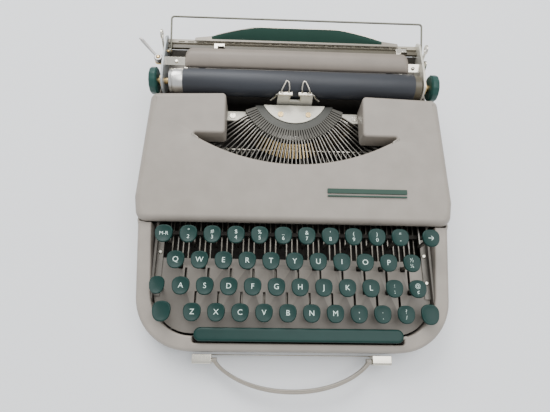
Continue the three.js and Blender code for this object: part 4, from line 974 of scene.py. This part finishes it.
def platen_parts():
    x0, x1, y0, y1, z0, z1 = cad("platen")
    radius = (z1 - z0) / 2
    left, right = LEFT_PLATE + 6.9, RIGHT_PLATE - 3.2
    split, cuff = left + 13, right - 6.5
    rubber = [(split, radius - 1), (split + 0.3, radius - 0.2), (split + 1, radius), (cuff - 1, radius),
              (cuff - 0.3, radius - 0.3), (cuff, radius - 1.2)]
    centre = (0, PLATEN_Y, PLATEN_Z)
    piece("platen_rubber", Shape().turned(rubber, centre, sides=64), "platen", "platen_rubber", ["platen"])
    collar = [(left, radius - 2.6), (left + 0.6, radius - 1.2), (left + 2, radius - 0.8),
        (left + 3, radius - 0.5), (left + 3.4, radius - 1.3), (left + 4, radius - 1.3),
        (left + 4.4, radius - 0.5), (split - 1, radius - 0.45), (split + 0.1, radius - 0.9)]
    piece("platen_collar", Shape().turned(collar, centre, sides=64), "platen", "collar_metal")
    end = [(cuff - 0.1, radius - 2), (cuff, radius - 1.3), (right - 0.6, radius - 1.3), (right, radius - 2)]
    piece("platen_cuff", Shape().turned(end, centre, sides=64), "platen", "collar_metal", finish=OLIVE)
    shaft = [(x0, 2.6), (x0 + 0.4, 3), (x1 - 0.4, 3), (x1, 2.6)]
    piece("platen_shaft", Shape().turned(shaft, centre, sides=24), "platen", "nickel", finish=BRASS)
    for name, side in (("left", -1), ("right", 1)):
        low, high = cad(f"knob_{name}")[:2]
        big = (cad(f"knob_{name}")[5] - cad(f"knob_{name}")[4]) / 2
        inner = high if side < 0 else low
        spots = [(0, 0.5), (0, 0.82), (0.5, 0.93), (1.3, 1.0), (5.8, 1.0), (6.7, 0.95), (7.3, 0.84),
                 (7.5, 0.6), (7.0, 0.52), (6.9, 0.1)]
        profile = [(inner + side * along, big * share) for along, share in spots]
        ribs = Shape().turned(profile, centre, sides=96,
            wave=lambda i: 1 - 0.013 * (1 - math.cos(math.pi * i / 4)))
        piece(f"knob_cap_{name}", ribs, "platen", "key_green", [f"knob_{name}"], KNOB_GREEN)


def paper_table():
    x0, x1, y0, y1, z0, z1 = cad("paper_table")
    mid = PLATEN_Z
    lower = [(y0, mid + 3.8), (y0 + 1.6, mid + 6.2), (y0 + 5, mid + 8.8), (y0 + 10, mid + 10.4),
        (y1, mid + 11.6)]
    made = Shape()
    rings = []
    corner, steps, middle = 7.0, 5, 14
    curve = [corner * (1 - math.cos(math.pi / 2 * k / steps)) for k in range(steps + 1)]
    spots = [x0 + turn for turn in curve]
    spots += [x0 + corner + (x1 - x0 - 2 * corner) * k / middle for k in range(1, middle)]
    spots += [x1 - turn for turn in reversed(curve)]
    for x in spots:
        near = min(x - x0, x1 - x)
        drop = 0 if near >= corner else corner - math.sqrt(max(0, corner**2 - (corner - near) ** 2))
        keep = 1 - drop / corner * 0.55
        rings.append([(x, y0 + (y - y0) * keep, lower[0][1] + (z - lower[0][1]) * keep) for y, z in lower])
    rows = [made.ring(ring) for ring in rings]
    for low, high in zip(rows, rows[1:]):
        for i in range(len(lower) - 1):
            made.mesh.faces.new((low[i], high[i], high[i + 1], low[i + 1]))
    piece("paper_table_sheet", made, "carriage", "table_paint", ["paper_table"], sheet=1.1)
    feet_parts = Shape()
    for x in (x0 + 14, x1 - 14):
        feet_parts.block(x - 3, x + 3, RAIL_Y - 2, RAIL_Y, RAIL_TOP + 2.8, mid + 7.6)
    piece("paper_table_feet", feet_parts, "carriage", "frame_steel", bevel=0.3)
    # Plated straps between the table and the end plates.
    straps = Shape()
    for near, far in ((LEFT_PLATE + 1.5, x0 + 3), (x1 - 3, RIGHT_PLATE - 1.5)):
        low = mid + 4.2
        straps.sideways([(y0 + 2, low), (y0 + 3, low - 0.8), (y0 + 9, low + 2), (y0 + 9, low + 3)], near,
            far)
        straps.turned([(low - 1, 1.6), (low + 2.4, 1.6), (low + 2.8, 1.2)], ((near + far) / 2, y0 + 5, 0),
            "Z", 18)
    piece("table_straps", straps, "carriage", "nickel", bevel=0.15)


def margin_stops():
    for name in ("left", "right"):
        x0, x1, y0, y1, z0, z1 = cad(f"margin_stop_{name}")
        made = Shape()
        top = PLATEN_Z + 4
        profile = [(y0, top - 6.6), (y0 + 1.5, top - 6.6), (y0 + 1.5, top - 1.7), (y1 - 1.5, top - 1.7),
            (y1 - 1.5, top - 6.6), (y1, top - 6.6), (y1, top - 0.6), (y1 - 1, top), (y0 + 1, top),
            (y0, top - 0.6)]
        made.sideways(profile, x0, x1)
        tab = [(x0 + 3.5, top - 1), (x1, top - 1), (x1 - 0.2, top + 3), (x1 - 1.6, top + 4),
               (x0 + 5, top + 4),
               (x0 + 3.6, top + 2.8)]
        made.upright(tab, y0, y0 + 1.2)
        piece(f"margin_stop_slide_{name}", made, f"margin_stop_{name}", "nickel",
              [f"margin_stop_{name}"], bevel=0.25)


def paper_support():
    x0, x1, y0, y1, z0, z1 = cad("paper_support")
    hinge = pivot("paper_support_raise")
    middle = (x0 + x1) / 2
    plate = Shape().prism(rounded([(x0, hinge.y - 1.4, 0.6), (x1, hinge.y - 1.4, 0.6),
        (x1, hinge.y + 2, 1.6), (middle + 60, hinge.y + 7.5, 20), (middle - 60, hinge.y + 7.5, 20),
        (x0, hinge.y + 2, 1.6)], 6), hinge.z - 0.6, hinge.z + 0.5)
    piece("support_base", plate, "paper_support", "support_paint", ["paper_support"], LENS_PAINT, bevel=0.2)
    # The green face leans back at 45 degrees and bows along its top.
    steps = 40
    rings = []
    for k in range(steps + 1):
        x = middle - 82 + 164 * k / steps
        u = abs(x - middle)
        tall = 12.2 - 9.2 * max(0, (u - 36) / 46) ** 1.35
        ring = []
        for along, off in ((0, 0.55), (tall * 0.4, 0.9), (tall * 0.8, 0.8), (tall, 0.4), (tall, -0.4),
                           (tall * 0.8, -0.3), (tall * 0.4, -0.2), (0, -0.55)):
            c = math.sqrt(0.5)
            ring.append((x, hinge.y + 0.4 + c * (along - off) + 0.4, hinge.z + c * (along + off) - 0.3))
        rings.append(ring)
    piece("support_face", Shape().loft(rings), "paper_support", "support_paint", bevel=0.15)
    edge = [(x, y + 0.1, z - 0.1) for x, y, z in (ring[3] for ring in rings[1:-1])]
    piece("support_edge", Shape().tube(edge, 0.45, 8), "paper_support", "nickel")


def paper_bail():
    arm = 33.75
    left, right = LEFT_PLATE + 5.2, RIGHT_PLATE + 1.6
    rest = math.radians(18)

    def along(x, distance):
        return (x, BAIL_Y + distance * math.cos(rest), BAIL_Z + distance * math.sin(rest))

    path = bent([along(left, 2.6), along(left, arm), along(right, arm), along(right, 2.6)], 3)
    made = Shape().tube(path, 0.9, 12)
    for x in (left, right):
        made.hoop(x - 0.9, x + 0.9, BAIL_Y, BAIL_Z, 3.2, 1.7)
    piece("bail_wire", made, "paper_bail", "dark_chrome", ["paper_bail"], BAIL_WIRE)


def carriage_levers():
    # Return lever: a hub with a blade on edge that widens towards its end.
    x, y = pivot("return_lever_swing").xy
    made = Shape()
    spots = [(SHELF + 0.3, 1.9), (SHELF + 0.3, 4), (SHELF + 3.9, 4), (SHELF + 4.5, 3.5), (SHELF + 4.5, 1.9)]
    made.band(spots, x, y, 26)
    turn = math.radians(137)
    blade = [(2.5, 2.2), (8, 3.0), (16, 5.2), (22, 7.6), (24, 10), (22.6, 11.6), (19, 11.4),
             (12, 8.4), (6, 5.4),
             (2.5, 4.4)]
    rings = [[(x + along * math.cos(turn) - side * math.sin(turn),
        y + along * math.sin(turn) + side * math.cos(turn), SHELF + up) for along,
        up in blade] for side in (-1, 1)]
    made.loft(rings)
    piece("return_lever_blade", made, "return_lever", "dark_chrome", ["return_lever"], bevel=0.25)
    # Carriage release: a rod through both end plates with a finger ring at each end.
    x0, x1 = cad("carriage_release_lever")[:2]
    made = Shape().turned([(x0, 1.3), (x1 - 0.4, 1.3), (x1, 1)], (0, RELEASE_Y, RELEASE_Z), "X", 16)
    for x, ring_y, ring_z, radius in ((x0, CARRIAGE_Y + 42, PLATEN_Z + 10, 4.6),
            (x1 - 2.6, CARRIAGE_Y + 37.5, PLATEN_Z + 5.5, 4.4)):
        made.hoop(x, x + 1.6, ring_y, ring_z, radius, radius - 1.7)
        way = Vector((ring_y - RELEASE_Y, ring_z - RELEASE_Z))
        long = way.length - radius + 0.8
        way.normalize()
        side = Vector((-way.y, way.x)) * 1.4
        base = Vector((RELEASE_Y, RELEASE_Z))
        made.sideways([base - side, base + way * long - side, base + way * long + side, base + side],
                      x, x + 1.6)
    piece("release_rod_and_rings", made, "carriage_release", "nickel", ["carriage_release_lever"],
          bevel=0.25)
    # Paper release: a flat pear-shaped lever.
    x0, x1 = cad("paper_release_lever")[:2]
    outline = rounded([(LEVER_Y - 3, LEVER_Z, 1.6), (LEVER_Y, LEVER_Z - 3, 1.6),
                       (LEVER_Y + 3, LEVER_Z, 1.6),
                       (LEVER_Y + 11, LEVER_Z + 14, 2.6), (LEVER_Y + 5.5, LEVER_Z + 17, 2.6)], 5)
    made = Shape().sideways(outline, x0, x1)
    piece("paper_release_blade", made, "paper_release", "nickel", ["paper_release_lever"], bevel=0.3)


def card_holder():
    x0, x1, y0, y1, z0, z1 = cad("card_holder")
    top = PLATEN_Z + 7
    front, back = y0, y0 + 2
    # Two upright plates on a common foot strip, each with a bar along its top.
    made = Shape()
    made.upright(card(x0, x1, z0, top - 11), front, back)
    bars = Shape()
    for side in (-1, 1):
        face = [(CENTRE_X + side * x, z) for x, z in ((5.6, top - 11.5), (16.2, top - 11.5),
            (16.2, top - 3), (13.5, top - 0.6), (5.6, top - 0.6))]
        made.upright(face, front, back)
        bars.block(*span(side, 2.8, 15.2, CENTRE_X), front - 0.3, back + 0.6, top - 2, top)
        bars.block(*span(side, 4.6, 5.4, CENTRE_X), front, back, top - 11.5, top - 1)
    piece("card_holder_plates", made, "shift_rail", "nickel", ["card_holder"], CREAM, bevel=0.2)
    piece("card_holder_bars", bars, "shift_rail", "nickel", bevel=0.2)
    # Wire fingers that curl over the platen, and a bent wing outside each plate.
    tips = Shape()
    over = PLATEN_Z + 13.6
    for side in (-1, 1):
        loop = [(14.4, front + 1, top - 2), (12.4, front + 3, top + 3.6), (8.6, PLATEN_Y - 5.5, over + 0.2),
                (6.4, PLATEN_Y - 6.6, over - 0.1), (5.6, front + 3.6, top + 3.4), (6.6, front + 2, top - 1)]
        tips.tube(bent([(CENTRE_X + side * x, y, z) for x, y, z in loop], 1.6), 0.75, 10)
        wing = [(13.6, front + 1.4, top - 1), (17.4, front + 1.4, top - 3), (19.4, front + 1.2, top - 8),
                (22.6, front + 0.8, top - 11.5)]
        tips.tube(bent([(CENTRE_X + side * x, y, z) for x, y, z in wing], 1.4), 0.9, 8)
    piece("card_fingers", tips, "shift_rail", "nickel")


carriage_frame()
platen_parts()
paper_table()
margin_stops()
paper_support()
paper_bail()
carriage_levers()
card_holder()
for slot in frame["nodes"]["carriage_rail"].material_slots:
    slot.material = FINISHES["frame_steel"]


# ---- Carrying handle ----
def handle():
    x0, x1, y0, y1, z0, z1 = cad("carry_handle")
    axis_y, axis_z = pivot("handle_swing").yz
    left, right = x0 + 6, x1 - 6
    middle, half = (left + right) / 2, (right - left) / 2
    reach = axis_y - y0
    thick, tall = 3.6, 8
    steps = 48
    rings = []
    for k in range(steps + 1):
        angle = math.pi * k / steps
        c, s = math.cos(angle), math.sin(angle)
        share = math.copysign(abs(c) ** 0.95, c)
        outer = Vector((middle - half * share, axis_y - reach * s**1.5))
        inner = Vector((middle - (half - thick) * share, axis_y - (reach - thick) * s**1.5))
        ring = []
        # A strap section with rounded edges and a shallow groove along its upper face.
        for across, up in ((0, -0.7), (0, 0.7), (0.12, 0.94), (0.3, 1), (0.42, 0.86), (0.58, 0.86),
                (0.7, 1), (0.88, 0.94), (1, 0.7), (1, -0.7), (0.88, -0.94), (0.5, -1), (0.12, -0.94)):
            spot = outer.lerp(inner, across)
            ring.append((spot.x, spot.y, axis_z + up * tall / 2))
        rings.append(ring)
    made = Shape().loft(rings)
    for low, high in ((left, left + thick), (right - thick, right)):
        made.sideways(card(axis_y - 2, axis_y + 2, z0 + 0.3, z1 - 0.3, 1, steps=3), low, high)
    piece("handle_strap", made, "handle", "handle_plastic", ["carry_handle"])
    pins = Shape()
    for low, high in ((x0, left + 1), (right - 1, x1)):
        pins.turned([(low, 1.5), (high, 1.5)], (0, axis_y, axis_z), "X", 16)
    piece("handle_pins", pins, "handle", "nickel")
    x0, x1, y0, y1, z0, z1 = cad("handle_mount")
    mount = Shape()
    wide = 16
    for low, high in ((x0, x0 + wide), (x1 - wide, x1)):
        profile = rounded([(y0, axis_z - 5.5, 2), (y1, axis_z - 5.5), (y1, axis_z + 5.5),
            (y0, axis_z + 5.5, 2)], 5)
        mount.sideways(profile, low, high)
    mount.block(x0, x1, -1.1, y1, z0, z0 + 3)
    piece("handle_brackets", mount, "chassis", "nickel", ["handle_mount"], bevel=0.4)


handle()
